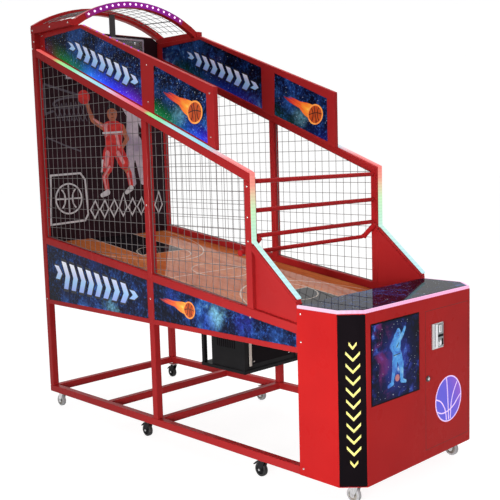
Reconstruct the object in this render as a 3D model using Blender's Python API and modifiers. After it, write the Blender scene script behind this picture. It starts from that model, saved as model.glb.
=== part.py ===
# Basketball hoop arcade machine: a wheeled steel frame with a sloping court deck,
# two mesh-guarded sides, header panels, a vaulted canopy and a coin cabinet in front.
# Units are metres, +Z is up, the player stands on the -Y side.
# The origin is on the floor under the middle of the machine's bounding box.
import bpy
import bmesh
import math
from mathutils import Matrix, Vector

for _ob in list(bpy.data.objects):
    bpy.data.objects.remove(_ob, do_unlink=True)

# ---------------------------------------------------------------- dimensions
HALF_W = 0.500          # half of the overall width
TUBE = 0.040            # square frame tube
INNER = HALF_W - TUBE   # inner face of the side frames
GAP = 0.0003            # clearance kept between touching pieces
Y_REAR = 2.455          # rear face, measured from the cabinet's front face
PROUD = 0.014           # the reject button stands this far in front of it
Y_OFF = (Y_REAR - PROUD) / 2.0

CASTER_H = 0.097        # underside of the frame
WHEEL_R = 0.035
WHEEL_W = 0.022
WHEEL_N = 20
TRAIL = 0.018
BASE_T = 0.040          # height of the base ladder's tubes

CAB_D = 0.320           # cabinet depth
CAB_Z = 0.880           # cabinet top
CHAMFER_X = 0.087
CHAMFER_Y = 0.090
SHEET = 0.008

POST_REAR = (2.415, 2.455)
POST_MID = (1.360, 1.400)
POST_FRONT = (0.597, 0.637)

RAIL_H = 0.041          # visible height of the deck rail
APRON_Z = 0.662         # lowest edge of the side aprons
DECK_T = 0.015
HEAD_TOP = 2.310
HEAD_PEAK_Y = 1.970
HEAD_FRONT_Y = 0.865
HEAD_FRONT_Z = 1.880

BACKBOARD_Y = 2.3945
RIM_Z = 2.085
RIM_R = 0.200
RIM_BAR = 0.008
RIM_Y = 2.155

DOOR_X = (0.0300, 0.3965)
DOOR_Z = (0.1435, 0.8065)
DOOR_T = 0.012

GATE_Y = 0.619
LED_R = 0.0055


def zb(y):
    """Underside of the sloping deck rail."""
    return 0.791 + 0.137 * (y - 0.618)


def zs(y):
    """Upper line of the side lights on the slope rail."""
    return 1.472 + 0.412 * (y - 0.591)


def rail_top(y):
    return zs(y) - 0.011


def rail_bot(y):
    return zs(y) - 0.054


# ---------------------------------------------------------------- helpers
parts = bpy.data.collections.new("basketball_hoop_machine")
bpy.context.scene.collection.children.link(parts)
cutters = bpy.data.collections.new("cutters")
bpy.context.scene.collection.children.link(cutters)


def material(name, rgb, rough, metal=0.0, alpha=1.0):
    m = bpy.data.materials.new(name)
    m.use_nodes = True
    b = m.node_tree.nodes["Principled BSDF"]
    b.inputs["Base Color"].default_value = (*rgb, 1.0)
    b.inputs["Roughness"].default_value = rough
    b.inputs["Metallic"].default_value = metal
    b.inputs["Alpha"].default_value = alpha
    m.diffuse_color = (*rgb, alpha)
    return m


RED = material("red_powder_coat", (0.62, 0.030, 0.028), 0.35)
BLACK = material("black_board", (0.012, 0.011, 0.014), 0.45)
GALAXY = material("printed_panel", (0.015, 0.030, 0.110), 0.30)
WOOD = material("court_board", (0.42, 0.17, 0.065), 0.18)
WIRE = material("grey_wire", (0.35, 0.35, 0.37), 0.40, 0.6)
STEEL = material("bright_steel", (0.62, 0.62, 0.63), 0.28, 1.0)
GLOSS = material("gloss_black_top", (0.010, 0.012, 0.030), 0.04)
CLEAR = material("clear_sheet", (0.80, 0.86, 0.88), 0.05, 0.0, 0.3)
ORANGE = material("orange_rim", (0.80, 0.16, 0.02), 0.35)
NETW = material("white_net", (0.82, 0.82, 0.80), 0.75)
TYRE = material("grey_tyre", (0.45, 0.45, 0.46), 0.55)
LED = material("led_tube", (0.90, 0.80, 0.88), 0.30)
PLASTIC = material("black_plastic", (0.02, 0.02, 0.022), 0.5)


def finish(ob, mat, coll=parts):
    ob.data.materials.clear()
    ob.data.materials.append(mat)
    for c in list(ob.users_collection):
        c.objects.unlink(ob)
    coll.objects.link(ob)
    return ob


def as_helper(ob):
    for c in list(ob.users_collection):
        c.objects.unlink(ob)
    cutters.objects.link(ob)
    ob.hide_render = True
    ob.display_type = "WIRE"
    return ob


def bevel(ob, width=0.0025, segments=1):
    m = ob.modifiers.new("edge", "BEVEL")
    m.width = width
    m.segments = segments
    m.limit_method = "ANGLE"
    m.angle_limit = math.radians(35)
    return ob


def box(name, x, y, z, mat, edge=0.0):
    """Box between two corners; y counts from the cabinet's front face."""
    bm = bmesh.new()
    bmesh.ops.create_cube(bm, size=1.0)
    size = (x[1] - x[0], y[1] - y[0], z[1] - z[0])
    bmesh.ops.scale(bm, vec=size, verts=bm.verts)
    me = bpy.data.meshes.new(name)
    bm.to_mesh(me)
    bm.free()
    ob = bpy.data.objects.new(name, me)
    ob.location = ((x[0] + x[1]) / 2, (y[0] + y[1]) / 2 - Y_OFF, (z[0] + z[1]) / 2)
    finish(ob, mat)
    if edge:
        bevel(ob, edge)
    return ob


def cylinder(name, centre, axis, radius, length, mat, n=16, turn=0.0):
    """Cylinder about a point; centre's y counts from the cabinet's front face."""
    bm = bmesh.new()
    bmesh.ops.create_cone(bm, cap_ends=True, segments=n, radius1=radius,
                          radius2=radius, depth=length,
                          matrix=Matrix.Rotation(turn, 4, "Z"))
    me = bpy.data.meshes.new(name)
    bm.to_mesh(me)
    bm.free()
    me.shade_smooth()
    me.set_sharp_from_angle(angle=math.radians(40))
    ob = bpy.data.objects.new(name, me)
    ob.rotation_mode = "QUATERNION"
    ob.rotation_quaternion = Vector((0, 0, 1)).rotation_difference(Vector(axis))
    ob.location = (centre[0], centre[1] - Y_OFF, centre[2])
    return finish(ob, mat)


def weld(ob, dist=1e-6):
    """Mesh copy of a curve object, with its caps welded on."""
    dg = bpy.context.evaluated_depsgraph_get()
    me = bpy.data.meshes.new_from_object(ob.evaluated_get(dg))
    bm = bmesh.new()
    bm.from_mesh(me)
    bmesh.ops.remove_doubles(bm, verts=bm.verts, dist=dist)
    bmesh.ops.recalc_face_normals(bm, faces=bm.faces)
    bm.to_mesh(me)
    bm.free()
    new = bpy.data.objects.new(ob.name + "_m", me)
    new.matrix_world = ob.matrix_world
    name = ob.name
    cu = ob.data
    bpy.data.objects.remove(ob, do_unlink=True)
    bpy.data.curves.remove(cu)
    new.name = name
    me.name = name
    return new


def outline(name, loops, thickness, matrix, mat):
    """Flat closed outline, with holes, given a thickness about its own plane."""
    cu = bpy.data.curves.new(name, "CURVE")
    cu.dimensions = "2D"
    cu.fill_mode = "BOTH"
    cu.extrude = thickness / 2
    for pts in loops:
        sp = cu.splines.new("POLY")
        sp.points.add(len(pts) - 1)
        for p, c in zip(sp.points, pts):
            p.co = (c[0], c[1], 0.0, 1.0)
        sp.use_cyclic_u = True
    ob = bpy.data.objects.new(name, cu)
    parts.objects.link(ob)
    ob.matrix_world = matrix
    bpy.context.view_layer.update()
    return finish(weld(ob), mat)


def side_plate(name, pts, x, mat, holes=(), edge=0.0):
    """Plate in a YZ plane between two x values; points are (y, z)."""
    m = Matrix.Translation(((x[0] + x[1]) / 2, 0, 0)) @ Matrix(
        ((0, 0, 1, 0), (1, 0, 0, 0), (0, 1, 0, 0), (0, 0, 0, 1)))
    loops = [[(p[0] - Y_OFF, p[1]) for p in lp] for lp in [pts, *holes]]
    ob = outline(name, loops, abs(x[1] - x[0]), m, mat)
    if edge:
        bevel(ob, edge)
    return ob


def front_plate(name, pts, y, mat, holes=()):
    """Plate in an XZ plane between two y values; points are (x, z)."""
    m = Matrix.Translation((0, (y[0] + y[1]) / 2 - Y_OFF, 0)) @ Matrix.Rotation(
        math.radians(90), 4, "X")
    return outline(name, [pts, *holes], abs(y[1] - y[0]), m, mat)


def floor_plate(name, pts, z, mat, holes=()):
    """Plate in an XY plane between two z values; points are (x, y)."""
    m = Matrix.Translation((0, 0, (z[0] + z[1]) / 2))
    loops = [[(p[0], p[1] - Y_OFF) for p in lp] for lp in [pts, *holes]]
    return outline(name, loops, abs(z[1] - z[0]), m, mat)


def tube(name, pts, radius, mat, res=2):
    """Round bar along a polyline; y counts from the cabinet's front face."""
    cu = bpy.data.curves.new(name, "CURVE")
    cu.dimensions = "3D"
    cu.bevel_depth = radius
    cu.bevel_resolution = res
    cu.use_fill_caps = True
    cu.twist_mode = "Z_UP"
    sp = cu.splines.new("POLY")
    sp.points.add(len(pts) - 1)
    for p, c in zip(sp.points, pts):
        p.co = (c[0], c[1] - Y_OFF, c[2], 1.0)
    ob = bpy.data.objects.new(name, cu)
    parts.objects.link(ob)
    bpy.context.view_layer.update()
    ob = finish(weld(ob), mat)
    ob.data.shade_smooth()
    ob.data.set_sharp_from_angle(angle=math.radians(40))
    return ob


def combine(target, others, how="UNION"):
    for i, o in enumerate(others):
        as_helper(o)
        m = target.modifiers.new("%s_%d" % (how.lower(), i), "BOOLEAN")
        m.operation = how
        m.solver = "EXACT"
        m.object = o
    return target


def mirror_x(pair):
    return (-pair[1], -pair[0])


def rect(a, b):
    return [(a[0], a[1]), (b[0], a[1]), (b[0], b[1]), (a[0], b[1])]


SIDES = (("left", -1), ("right", 1))


def sx(side, lo, hi):
    """x interval on one side, given as distances from the middle."""
    return (-hi, -lo) if side < 0 else (lo, hi)


# ---------------------------------------------------------------- base ladder
bz = (CASTER_H, CASTER_H + BASE_T)
bays = ((CAB_D + TUBE, POST_MID[0]), (POST_MID[1], 1.840), (1.880, POST_REAR[0]))
base = floor_plate(
    "base_frame", rect((-HALF_W, CAB_D + GAP), (HALF_W, Y_REAR)), bz, RED,
    holes=[rect((-INNER, a), (INNER, b)) for a, b in bays])
bevel(base, 0.0025)

# ---------------------------------------------------------------- side frames
foot = bz[1] + GAP
for tag, s in SIDES:
    xo = sx(s, INNER, HALF_W)
    box("rear_post_" + tag, xo, POST_REAR, (foot, HEAD_TOP - GAP), RED, 0.0025)
    side_plate("mid_post_" + tag,
               [(POST_MID[0], foot), (POST_MID[1], foot),
                (POST_MID[1], rail_bot(POST_MID[1]) - GAP),
                (POST_MID[0], rail_bot(POST_MID[0]) - GAP)], xo, RED, edge=0.0025)
    a, b = POST_FRONT
    side_plate("front_post_" + tag,
               [(a, zb(a) + RAIL_H + GAP), (b, zb(b) + RAIL_H + GAP),
                (b, rail_bot(b) - GAP), (a, rail_bot(a) - GAP)], xo, RED, edge=0.0025)
    a, b = POST_FRONT[0], POST_REAR[0] - GAP
    side_plate("slope_rail_" + tag,
               [(a, rail_bot(a)), (b, rail_bot(b)), (b, rail_top(b)), (a, rail_top(a))],
               xo, RED, edge=0.0025)
    # aprons: the printed skirts with the deck rail along their upper edge
    xa = sx(s, INNER + 0.002, HALF_W)
    for nm, a, b in (("rear", POST_MID[1] + GAP, POST_REAR[0] - GAP),
                     ("front", CAB_D + GAP, POST_MID[0] - GAP)):
        side_plate("apron_%s_%s" % (nm, tag),
                   [(a, APRON_Z), (b, APRON_Z), (b, zb(b) + RAIL_H), (a, zb(a) + RAIL_H)],
                   xa, RED, edge=0.002)
    # cheek: recessed sheet below the arm-rest slope, with a flange along the slope
    a, b = CAB_D + GAP, POST_FRONT[0] - GAP

    def zc(y):
        return 1.140 + 0.870 * (y - 0.597) - 0.011

    ck = side_plate("cheek_" + tag,
                    [(a, zb(a) + RAIL_H + GAP), (b, zb(b) + RAIL_H + GAP),
                     (b, zc(b) - 0.003), (a, zc(a) - 0.003)],
                    sx(s, INNER + 0.002, 0.476), RED)
    fl = side_plate("cheek_flange_" + tag,
                    [(a, zc(a) - 0.022), (b, zc(b) - 0.022), (b, zc(b)), (a, zc(a))],
                    sx(s, INNER + 0.0035, HALF_W), RED)
    combine(ck, [fl])
    # header: the printed wing above the slope rail
    side_plate("header_" + tag,
               [(HEAD_FRONT_Y, rail_top(HEAD_FRONT_Y) + GAP),
                (POST_REAR[0] - GAP, rail_top(POST_REAR[0]) + GAP),
                (POST_REAR[0] - GAP, HEAD_TOP), (HEAD_PEAK_Y, HEAD_TOP),
                (HEAD_FRONT_Y, HEAD_FRONT_Z)],
               sx(s, 0.435, 0.465), GALAXY, edge=0.002)


# ---------------------------------------------------------------- side guards
def clip(poly, inside, cross):
    out = []
    for i, p in enumerate(poly):
        q = poly[(i + 1) % len(poly)]
        a, b = inside(p), inside(q)
        if a:
            out.append(p)
        if a != b:
            out.append(cross(p, q))
    return out


def area(poly):
    return abs(sum(p[0] * poly[(i + 1) % len(poly)][1] - poly[(i + 1) % len(poly)][0] * p[1]
                   for i, p in enumerate(poly))) / 2


def guard_panel(name, y0, y1, side, nv, pitch_z):
    """Wire guard between two posts, the deck rail and the slope rail."""
    lo = lambda y: zb(y) + RAIL_H + GAP
    hi = lambda y: rail_bot(y) - GAP
    rim, wire = 0.012, 0.006
    outer = [(y0, lo(y0)), (y1, lo(y1)), (y1, hi(y1)), (y0, hi(y0))]

    def cut(poly, f, sign, off):
        ins = lambda p: sign * (p[1] - (f(p[0]) + off)) >= 0

        def cross(p, q):
            dp = p[1] - (f(p[0]) + off)
            dq = q[1] - (f(q[0]) + off)
            t = dp / (dp - dq)
            return (p[0] + (q[0] - p[0]) * t, p[1] + (q[1] - p[1]) * t)
        return clip(poly, ins, cross)

    holes = []
    step = (y1 - y0 - 2 * rim) / nv
    z = math.floor(lo(y0) / pitch_z) * pitch_z
    while z < hi(y1):
        for i in range(nv):
            a = y0 + rim + i * step + (wire / 2 if i else 0)
            b = y0 + rim + (i + 1) * step - (wire / 2 if i < nv - 1 else 0)
            cell = rect((a, z + wire / 2), (b, z + pitch_z - wire / 2))
            cell = cut(cell, lo, 1, rim)
            cell = cut(cell, hi, -1, -rim) if len(cell) > 2 else cell
            if len(cell) > 2 and area(cell) > 0.0006:
                holes.append(cell)
        z += pitch_z
    x = sx(side, 0.4785, 0.4815)
    return side_plate(name, outer, x, WIRE, holes=holes)


for tag, s in SIDES:
    guard_panel("side_mesh_rear_" + tag, POST_MID[1] + GAP, POST_REAR[0] - GAP, s, 5, 0.20)
    guard_panel("side_mesh_front_" + tag, POST_FRONT[1] + GAP, POST_MID[0] - GAP, s, 4, 0.20)

# ---------------------------------------------------------------- guard rails
gx = INNER - GAP
rail = box("guard_rail", (-gx, -gx + 0.004), (0.601, 0.633), (1.105, 1.446), RED)
bits = [box("guard_strap", (gx - 0.004, gx), (0.601, 0.633), (1.105, 1.446), RED)]
for i, z in enumerate((1.427, 1.290, 1.170)):
    bits.append(cylinder("guard_bar_%d" % i, (0, 0.617, z), (1, 0, 0), 0.011,
                         2 * gx - 0.002, RED, 12))
combine(rail, bits)
tube("lower_guard_bar",
     [(-gx + 0.0043, 0.617, 1.140), (-0.447, 0.617, 1.140), (-0.441, 0.630, 1.127),
      (-0.441, 0.665, 1.095), (-0.424, 0.678, 1.086), (0.424, 0.678, 1.086),
      (0.441, 0.665, 1.095), (0.441, 0.630, 1.127), (0.447, 0.617, 1.140),
      (gx - 0.0043, 0.617, 1.140)],
     0.011, RED)

# ---------------------------------------------------------------- court deck
dx = INNER - GAP


def deck_board(name, a, b):
    pts = [(a, zb(a) + 0.003 - DECK_T), (b, zb(b) + 0.003 - DECK_T),
           (b, zb(b) + 0.003), (a, zb(a) + 0.003)]
    return side_plate(name, pts, (-dx, dx), WOOD)


deck_board("deck", 0.6245, POST_REAR[0] - GAP)
deck_board("trough_board", CAB_D + GAP, 0.6135)

# gate plate: rises through the slot between the two boards to hold the balls back
gt = zb(GATE_Y) - 0.001
gate = box("gate_plate", (-0.43, 0.43), (GATE_Y - 0.0025, GATE_Y + 0.0025),
           (gt - 0.125, gt), PLASTIC)
combine(gate, [box("gate_foot", (-0.04, 0.04), (GATE_Y, GATE_Y + 0.045),
                   (gt - 0.125, gt - 0.119), PLASTIC)])
act = box("gate_actuator", (-0.032, 0.032), (GATE_Y + 0.006, GATE_Y + 0.050),
          (gt - 0.270, gt - 0.160), PLASTIC, 0.003)
combine(act, [cylinder("gate_rod_sleeve", (0, GATE_Y + 0.026, gt - 0.145), (0, 0, 1),
                       0.012, 0.038, STEEL, 12)])

# ---------------------------------------------------------------- rear wall
front_plate("back_panel",
            [(-INNER + GAP, 0.960), (INNER - GAP, 0.960), (INNER - GAP, HEAD_TOP - 0.001),
             (0.452, HEAD_TOP - 0.001), (0.400, 2.345), (-0.400, 2.345),
             (-0.452, HEAD_TOP - 0.001), (-INNER + GAP, HEAD_TOP - 0.001)],
            (POST_REAR[0] + GAP, POST_REAR[0] + 0.0203), BLACK)


# ---------------------------------------------------------------- canopy
def arch(name, half, z_end, z_crown, depth, y, z_foot, x_foot):
    rad = (half * half + (z_crown - z_end) ** 2) / (2 * (z_crown - z_end))
    zc0 = z_crown - rad
    a_out = math.asin(half / rad)
    r_in = rad - depth
    a_in = min(math.acos((z_foot - zc0) / r_in), math.asin(x_foot / r_in))
    n = 14
    pts = [(half, z_foot)]
    pts += [(rad * math.sin(t), zc0 + rad * math.cos(t))
            for t in [a_out - 2 * a_out * i / n for i in range(n + 1)]]
    pts += [(-half, z_foot), (-x_foot, z_foot)]
    pts += [(r_in * math.sin(t), zc0 + r_in * math.cos(t))
            for t in [-a_in + 2 * a_in * i / n for i in range(n + 1)]]
    pts += [(x_foot, z_foot)]
    clean = []
    for p in pts:
        if not clean or math.dist(p, clean[-1]) > 1e-4:
            clean.append(p)
    return front_plate(name, clean, y, RED), (rad, zc0)


ZR = HEAD_TOP + GAP
front_arch, (fr, fz) = arch("canopy_frame", 0.480, 2.335, 2.490, 0.038,
                            (2.032, 2.068), ZR + 0.0012, 0.447)
rear_arch, (rr, rz) = arch("canopy_rear_arch", 0.499, 2.359, 2.500, 0.040,
                           (2.4185, 2.4540), ZR + 0.0012, 0.470)
combine(front_arch, [rear_arch,
                     box("canopy_rail_left", (-HALF_W, -0.457), (2.025, Y_REAR), (ZR, 2.348), RED),
                     box("canopy_rail_right", (0.457, HALF_W), (2.025, Y_REAR), (ZR, 2.348), RED)])

# wire vault between the arches: two unlike arcs joined by a thin skin
bm = bmesh.new()
n, thick, xm = 12, 0.003, 0.440
rows = []
for i in range(n + 1):
    x = -xm + 2 * xm * i / n
    ring = []
    for y, rad, zc0 in ((2.0683, fr - 0.016, fz), (2.4182, rr - 0.017, rz)):
        z = zc0 + math.sqrt(rad * rad - x * x)
        ring.append([bm.verts.new((x, y - Y_OFF, z + d)) for d in (0.0, -thick)])
    rows.append(ring)
for a, b in zip(rows, rows[1:]):
    bm.faces.new((a[0][0], b[0][0], b[1][0], a[1][0]))
    bm.faces.new((a[0][1], a[1][1], b[1][1], b[0][1]))
    bm.faces.new((a[0][0], a[0][1], b[0][1], b[0][0]))
    bm.faces.new((a[1][0], b[1][0], b[1][1], a[1][1]))
for r in (rows[0], rows[-1]):
    bm.faces.new((r[0][0], r[1][0], r[1][1], r[0][1]))
bmesh.ops.recalc_face_normals(bm, faces=bm.faces)
me = bpy.data.meshes.new("canopy_mesh")
bm.to_mesh(me)
bm.free()
finish(bpy.data.objects.new("canopy_mesh", me), WIRE)

# ---------------------------------------------------------------- hoop
bb = (BACKBOARD_Y, BACKBOARD_Y + 0.010)
box("backboard", (-0.310, 0.310), bb, (2.045, 2.330), CLEAR, 0.002)
hy = (bb[1] + GAP, POST_REAR[0])
# one mast up to the vault with two cross straps behind the board
front_plate("backboard_hanger",
            [(-0.270, 2.065), (0.270, 2.065), (0.270, 2.090), (0.090, 2.090),
             (0.090, 2.285), (0.270, 2.285), (0.270, 2.310), (0.090, 2.310),
             (0.090, 2.470), (0.050, 2.470), (0.050, 2.310), (-0.270, 2.310),
             (-0.270, 2.285), (0.050, 2.285), (0.050, 2.090), (-0.270, 2.090)],
            hy, STEEL)
bm = bmesh.new()
seg, ring_n = 28, 8
prof = [bm.verts.new((RIM_R + RIM_BAR + RIM_BAR * math.cos(2 * math.pi * i / ring_n), 0,
                      RIM_BAR * math.sin(2 * math.pi * i / ring_n))) for i in range(ring_n)]
edges = [bm.edges.new((prof[i], prof[(i + 1) % ring_n])) for i in range(ring_n)]
bmesh.ops.spin(bm, geom=prof + edges, cent=(0, 0, 0), axis=(0, 0, 1),
               angle=2 * math.pi, steps=seg, use_merge=True, use_duplicate=False)
bmesh.ops.remove_doubles(bm, verts=bm.verts, dist=1e-5)
bmesh.ops.recalc_face_normals(bm, faces=bm.faces)
me = bpy.data.meshes.new("hoop_rim")
bm.to_mesh(me)
bm.free()
me.shade_smooth()
rim = finish(bpy.data.objects.new("hoop_rim", me), ORANGE)
rim.location = (0, RIM_Y - Y_OFF, RIM_Z)
rear_of_rim = RIM_Y + RIM_R + RIM_BAR
combine(rim, [box("rim_neck", (-0.055, 0.055), (rear_of_rim - 0.009, BACKBOARD_Y - 0.004),
                  (RIM_Z - 0.005, RIM_Z + 0.005), ORANGE),
              box("rim_plate", (-0.060, 0.060), (BACKBOARD_Y - 0.006, BACKBOARD_Y - GAP),
                  (RIM_Z - 0.006, RIM_Z + 0.075), ORANGE)])

# net: an open tapering sleeve hung below the ring
net = bpy.data.meshes.new("net")
bm = bmesh.new()
pro = [(RIM_R - 0.010, -0.0085), (0.152, -0.075), (0.116, -0.145), (0.108, -0.190)]
pts = [(r, z) for r, z in pro] + [(r - 0.003, z) for r, z in reversed(pro)]
vs = [bm.verts.new((r, 0, z)) for r, z in pts]
for i, v in enumerate(vs):
    bm.edges.new((v, vs[(i + 1) % len(vs)]))
bm.to_mesh(net)
bm.free()
net_ob = finish(bpy.data.objects.new("net", net), NETW)
net_ob.location = (0, RIM_Y - Y_OFF, RIM_Z)
sc = net_ob.modifiers.new("turn", "SCREW")
sc.steps = sc.render_steps = 16
sc.use_merge_vertices = True
sc.merge_threshold = 0.00001
sc.use_normal_flip = False

box("score_display", (-0.110, 0.110), (2.360, BACKBOARD_Y - GAP), (2.195, 2.270), PLASTIC, 0.003)

# ---------------------------------------------------------------- cabinet
c = (CHAMFER_X, CHAMFER_Y)


def footprint(inset, rear):
    k = inset * 0.41
    w = HALF_W - inset
    return [(-w, rear), (-w, c[1] + k), (-w + c[0] + k - inset * 0.0, inset),
            (w - c[0] - k, inset), (w, c[1] + k), (w, rear)]


CZ = (CASTER_H, CAB_Z - 0.0153)
shell = floor_plate("cabinet_shell", footprint(0.0, CAB_D), CZ, RED)
hollow = floor_plate("cabinet_hollow", footprint(SHEET, CAB_D - SHEET),
                     (CZ[0] + SHEET, CZ[1] + 0.05), RED)
opening = box("door_opening", (DOOR_X[0] - 0.0005, DOOR_X[1] + 0.0005), (-0.05, 0.05),
              (DOOR_Z[0] - 0.0005, DOOR_Z[1] + 0.0005), RED)
combine(shell, [hollow, opening], "DIFFERENCE")
floor_plate("cabinet_top",
            [(-0.484, CAB_D - GAP), (-0.484, 0.098), (-0.409, 0.0145), (0.409, 0.0145),
             (0.484, 0.098), (0.484, CAB_D - GAP)], (CAB_Z - 0.015, CAB_Z), GLOSS)

# coin door with its mechanism, reject button and cam lock
door = box("coin_door", DOOR_X, (0.0, DOOR_T), DOOR_Z, RED)
MECH_X, MECH_Z = (0.075, 0.167), (0.619, 0.740)
LOCK = (0.047, 0.486)
combine(door, [box("mech_opening", (MECH_X[0] + 0.008, MECH_X[1] - 0.008), (-0.05, 0.05),
                   (MECH_Z[0] + 0.008, MECH_Z[1] - 0.008), RED),
               cylinder("lock_bore", (LOCK[0], 0.006, LOCK[1]), (0, 1, 0), 0.0085, 0.10, RED, 16)],
        "DIFFERENCE")
mech = box("coin_mech", MECH_X, (-0.008, -GAP), MECH_Z, STEEL)
combine(mech, [box("mech_body", (MECH_X[0] + 0.0085, MECH_X[1] - 0.0085), (-0.004, 0.078),
                   (MECH_Z[0] + 0.0085, MECH_Z[1] - 0.0085), PLASTIC)])
BUTTON = (0.133, 0.643)
pocket = cylinder("button_pocket", (BUTTON[0], -0.003, BUTTON[1]), (0, 1, 0), 0.0098, 0.022,
                  STEEL, 16)
combine(mech, [pocket], "DIFFERENCE")
cylinder("reject_button", (BUTTON[0], (-PROUD + 0.0030) / 2, BUTTON[1]), (0, 1, 0), 0.0093,
         PROUD + 0.0030, STEEL, 16)
lock = cylinder("door_lock", (LOCK[0], 0.0045, LOCK[1]), (0, 1, 0), 0.0080, 0.023, STEEL, 16)
combine(lock, [cylinder("lock_head", (LOCK[0], -0.0032, LOCK[1]), (0, 1, 0), 0.0110, 0.0058,
                        STEEL, 16),
               box("lock_cam", (LOCK[0] - 0.006, LOCK[0] + 0.006), (0.0125, 0.0150),
                   (LOCK[1] - 0.006, LOCK[1] + 0.034), STEEL)])

# open cash box standing on the cabinet floor under the coin mechanism
cash = box("cash_box", (0.070, 0.230), (0.030, 0.200), (CZ[0] + SHEET + GAP, 0.290), PLASTIC)
combine(cash, [box("cash_hollow", (0.074, 0.226), (0.034, 0.196), (CZ[0] + 0.013, 0.35),
                   PLASTIC)], "DIFFERENCE")

# ---------------------------------------------------------------- control box
ctl = box("control_box", (0.000, 0.440), (1.190, 1.465), (0.330, 0.720), PLASTIC)
cy = (1.185, 1.550)
combine(ctl, [
    box("tray_base", (-0.006, 0.446), (cy[0] - 0.002, cy[1] + 0.002), (0.313, 0.333), PLASTIC),
    box("tray_leg_near", (-0.004, 0.020), (1.528, cy[1]), (0.328, 0.880), PLASTIC),
    box("tray_leg_far", (0.420, 0.444), (1.528, cy[1]), (0.327, 0.880), PLASTIC),
    box("tray_front_near", (-0.003, 0.021), (cy[0], 1.209), (0.326, 0.845), PLASTIC),
    box("tray_front_far", (0.419, 0.443), (cy[0], 1.209), (0.325, 0.845), PLASTIC),
])

# ---------------------------------------------------------------- side lights
zl = CAB_Z - 0.0075
half = [(-0.485, 2.405, rail_top(2.405) + 0.0068), (-0.485, 0.591, rail_top(0.591) + 0.0060),
        (-0.485, 0.591, 1.143), (-0.485, 0.330, 0.9160), (-0.4930, 0.298, zl + 0.004),
        (-0.4938, 0.290, zl), (-0.4938, 0.0930, zl), (-0.4105, 0.0066, zl)]
tube("led_strip", half + [(-p[0], p[1], p[2]) for p in reversed(half)], LED_R, LED, 1)

# ---------------------------------------------------------------- casters
CX = 0.452
for tag, s in SIDES:
    for k, y in enumerate((0.075, 0.600, 1.500, 2.390), 1):
        x = s * (0.395 if k == 1 else CX)
        hi, lo, w = CASTER_H - 0.0004, 0.022, WHEEL_W / 2 + 0.0008
        m = Matrix.Translation((x, y + TRAIL / 2 - Y_OFF, 0)) @ Matrix.Rotation(
            math.radians(90), 4, "X")
        t = 0.004
        outline("caster_fork_%s_%d" % (tag, k),
                [[(-w - t, lo), (-w, lo), (-w, 0.076), (w, 0.076), (w, lo), (w + t, lo),
                  (w + t, hi), (-w - t, hi)]], 0.042, m, STEEL)
        cylinder("caster_wheel_%s_%d" % (tag, k), (x, y + TRAIL, WHEEL_R), (1, 0, 0),
                 WHEEL_R / math.cos(math.pi / WHEEL_N), WHEEL_W, TYRE, WHEEL_N,
                 math.pi / WHEEL_N)

bpy.context.view_layer.update()
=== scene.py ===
import math

import bmesh
import bpy
import numpy as np
from mathutils import Matrix, Vector


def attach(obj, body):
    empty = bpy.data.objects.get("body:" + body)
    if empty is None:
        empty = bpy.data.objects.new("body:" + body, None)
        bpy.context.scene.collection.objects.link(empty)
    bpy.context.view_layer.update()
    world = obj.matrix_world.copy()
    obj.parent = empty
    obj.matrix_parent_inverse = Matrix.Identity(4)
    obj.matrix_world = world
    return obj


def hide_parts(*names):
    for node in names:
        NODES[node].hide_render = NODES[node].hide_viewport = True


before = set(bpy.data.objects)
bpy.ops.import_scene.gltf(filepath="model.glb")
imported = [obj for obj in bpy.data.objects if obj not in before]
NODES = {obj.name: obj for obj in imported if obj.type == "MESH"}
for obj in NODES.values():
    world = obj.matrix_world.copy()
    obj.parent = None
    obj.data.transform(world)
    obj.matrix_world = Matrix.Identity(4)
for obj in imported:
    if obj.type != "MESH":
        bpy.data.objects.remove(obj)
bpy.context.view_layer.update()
scene = bpy.context.scene
scene.view_settings.view_transform = "Standard"

# ------------------------------------------------------------------ dimensions
# y values below count from the cabinet's front face; YO moves them to the row frame
YO = 1.2205
W, INN = 0.500, 0.460
SIDES = (("left", -1), ("right", 1))


def zb(y):
    return 0.791 + 0.137 * (y - 0.618)


def rail_top(y):
    return 1.472 + 0.412 * (y - 0.591) - 0.011


def rail_bot(y):
    return 1.472 + 0.412 * (y - 0.591) - 0.054


def zc(y):
    return 1.140 + 0.870 * (y - 0.597) - 0.011


def lin(r, g, b):
    """sRGB 0..255 to linear."""
    out = []
    for c in (r, g, b):
        c /= 255.0
        out.append(c / 12.92 if c <= 0.04045 else ((c + 0.055) / 1.055) ** 2.4)
    return tuple(out)


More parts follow.
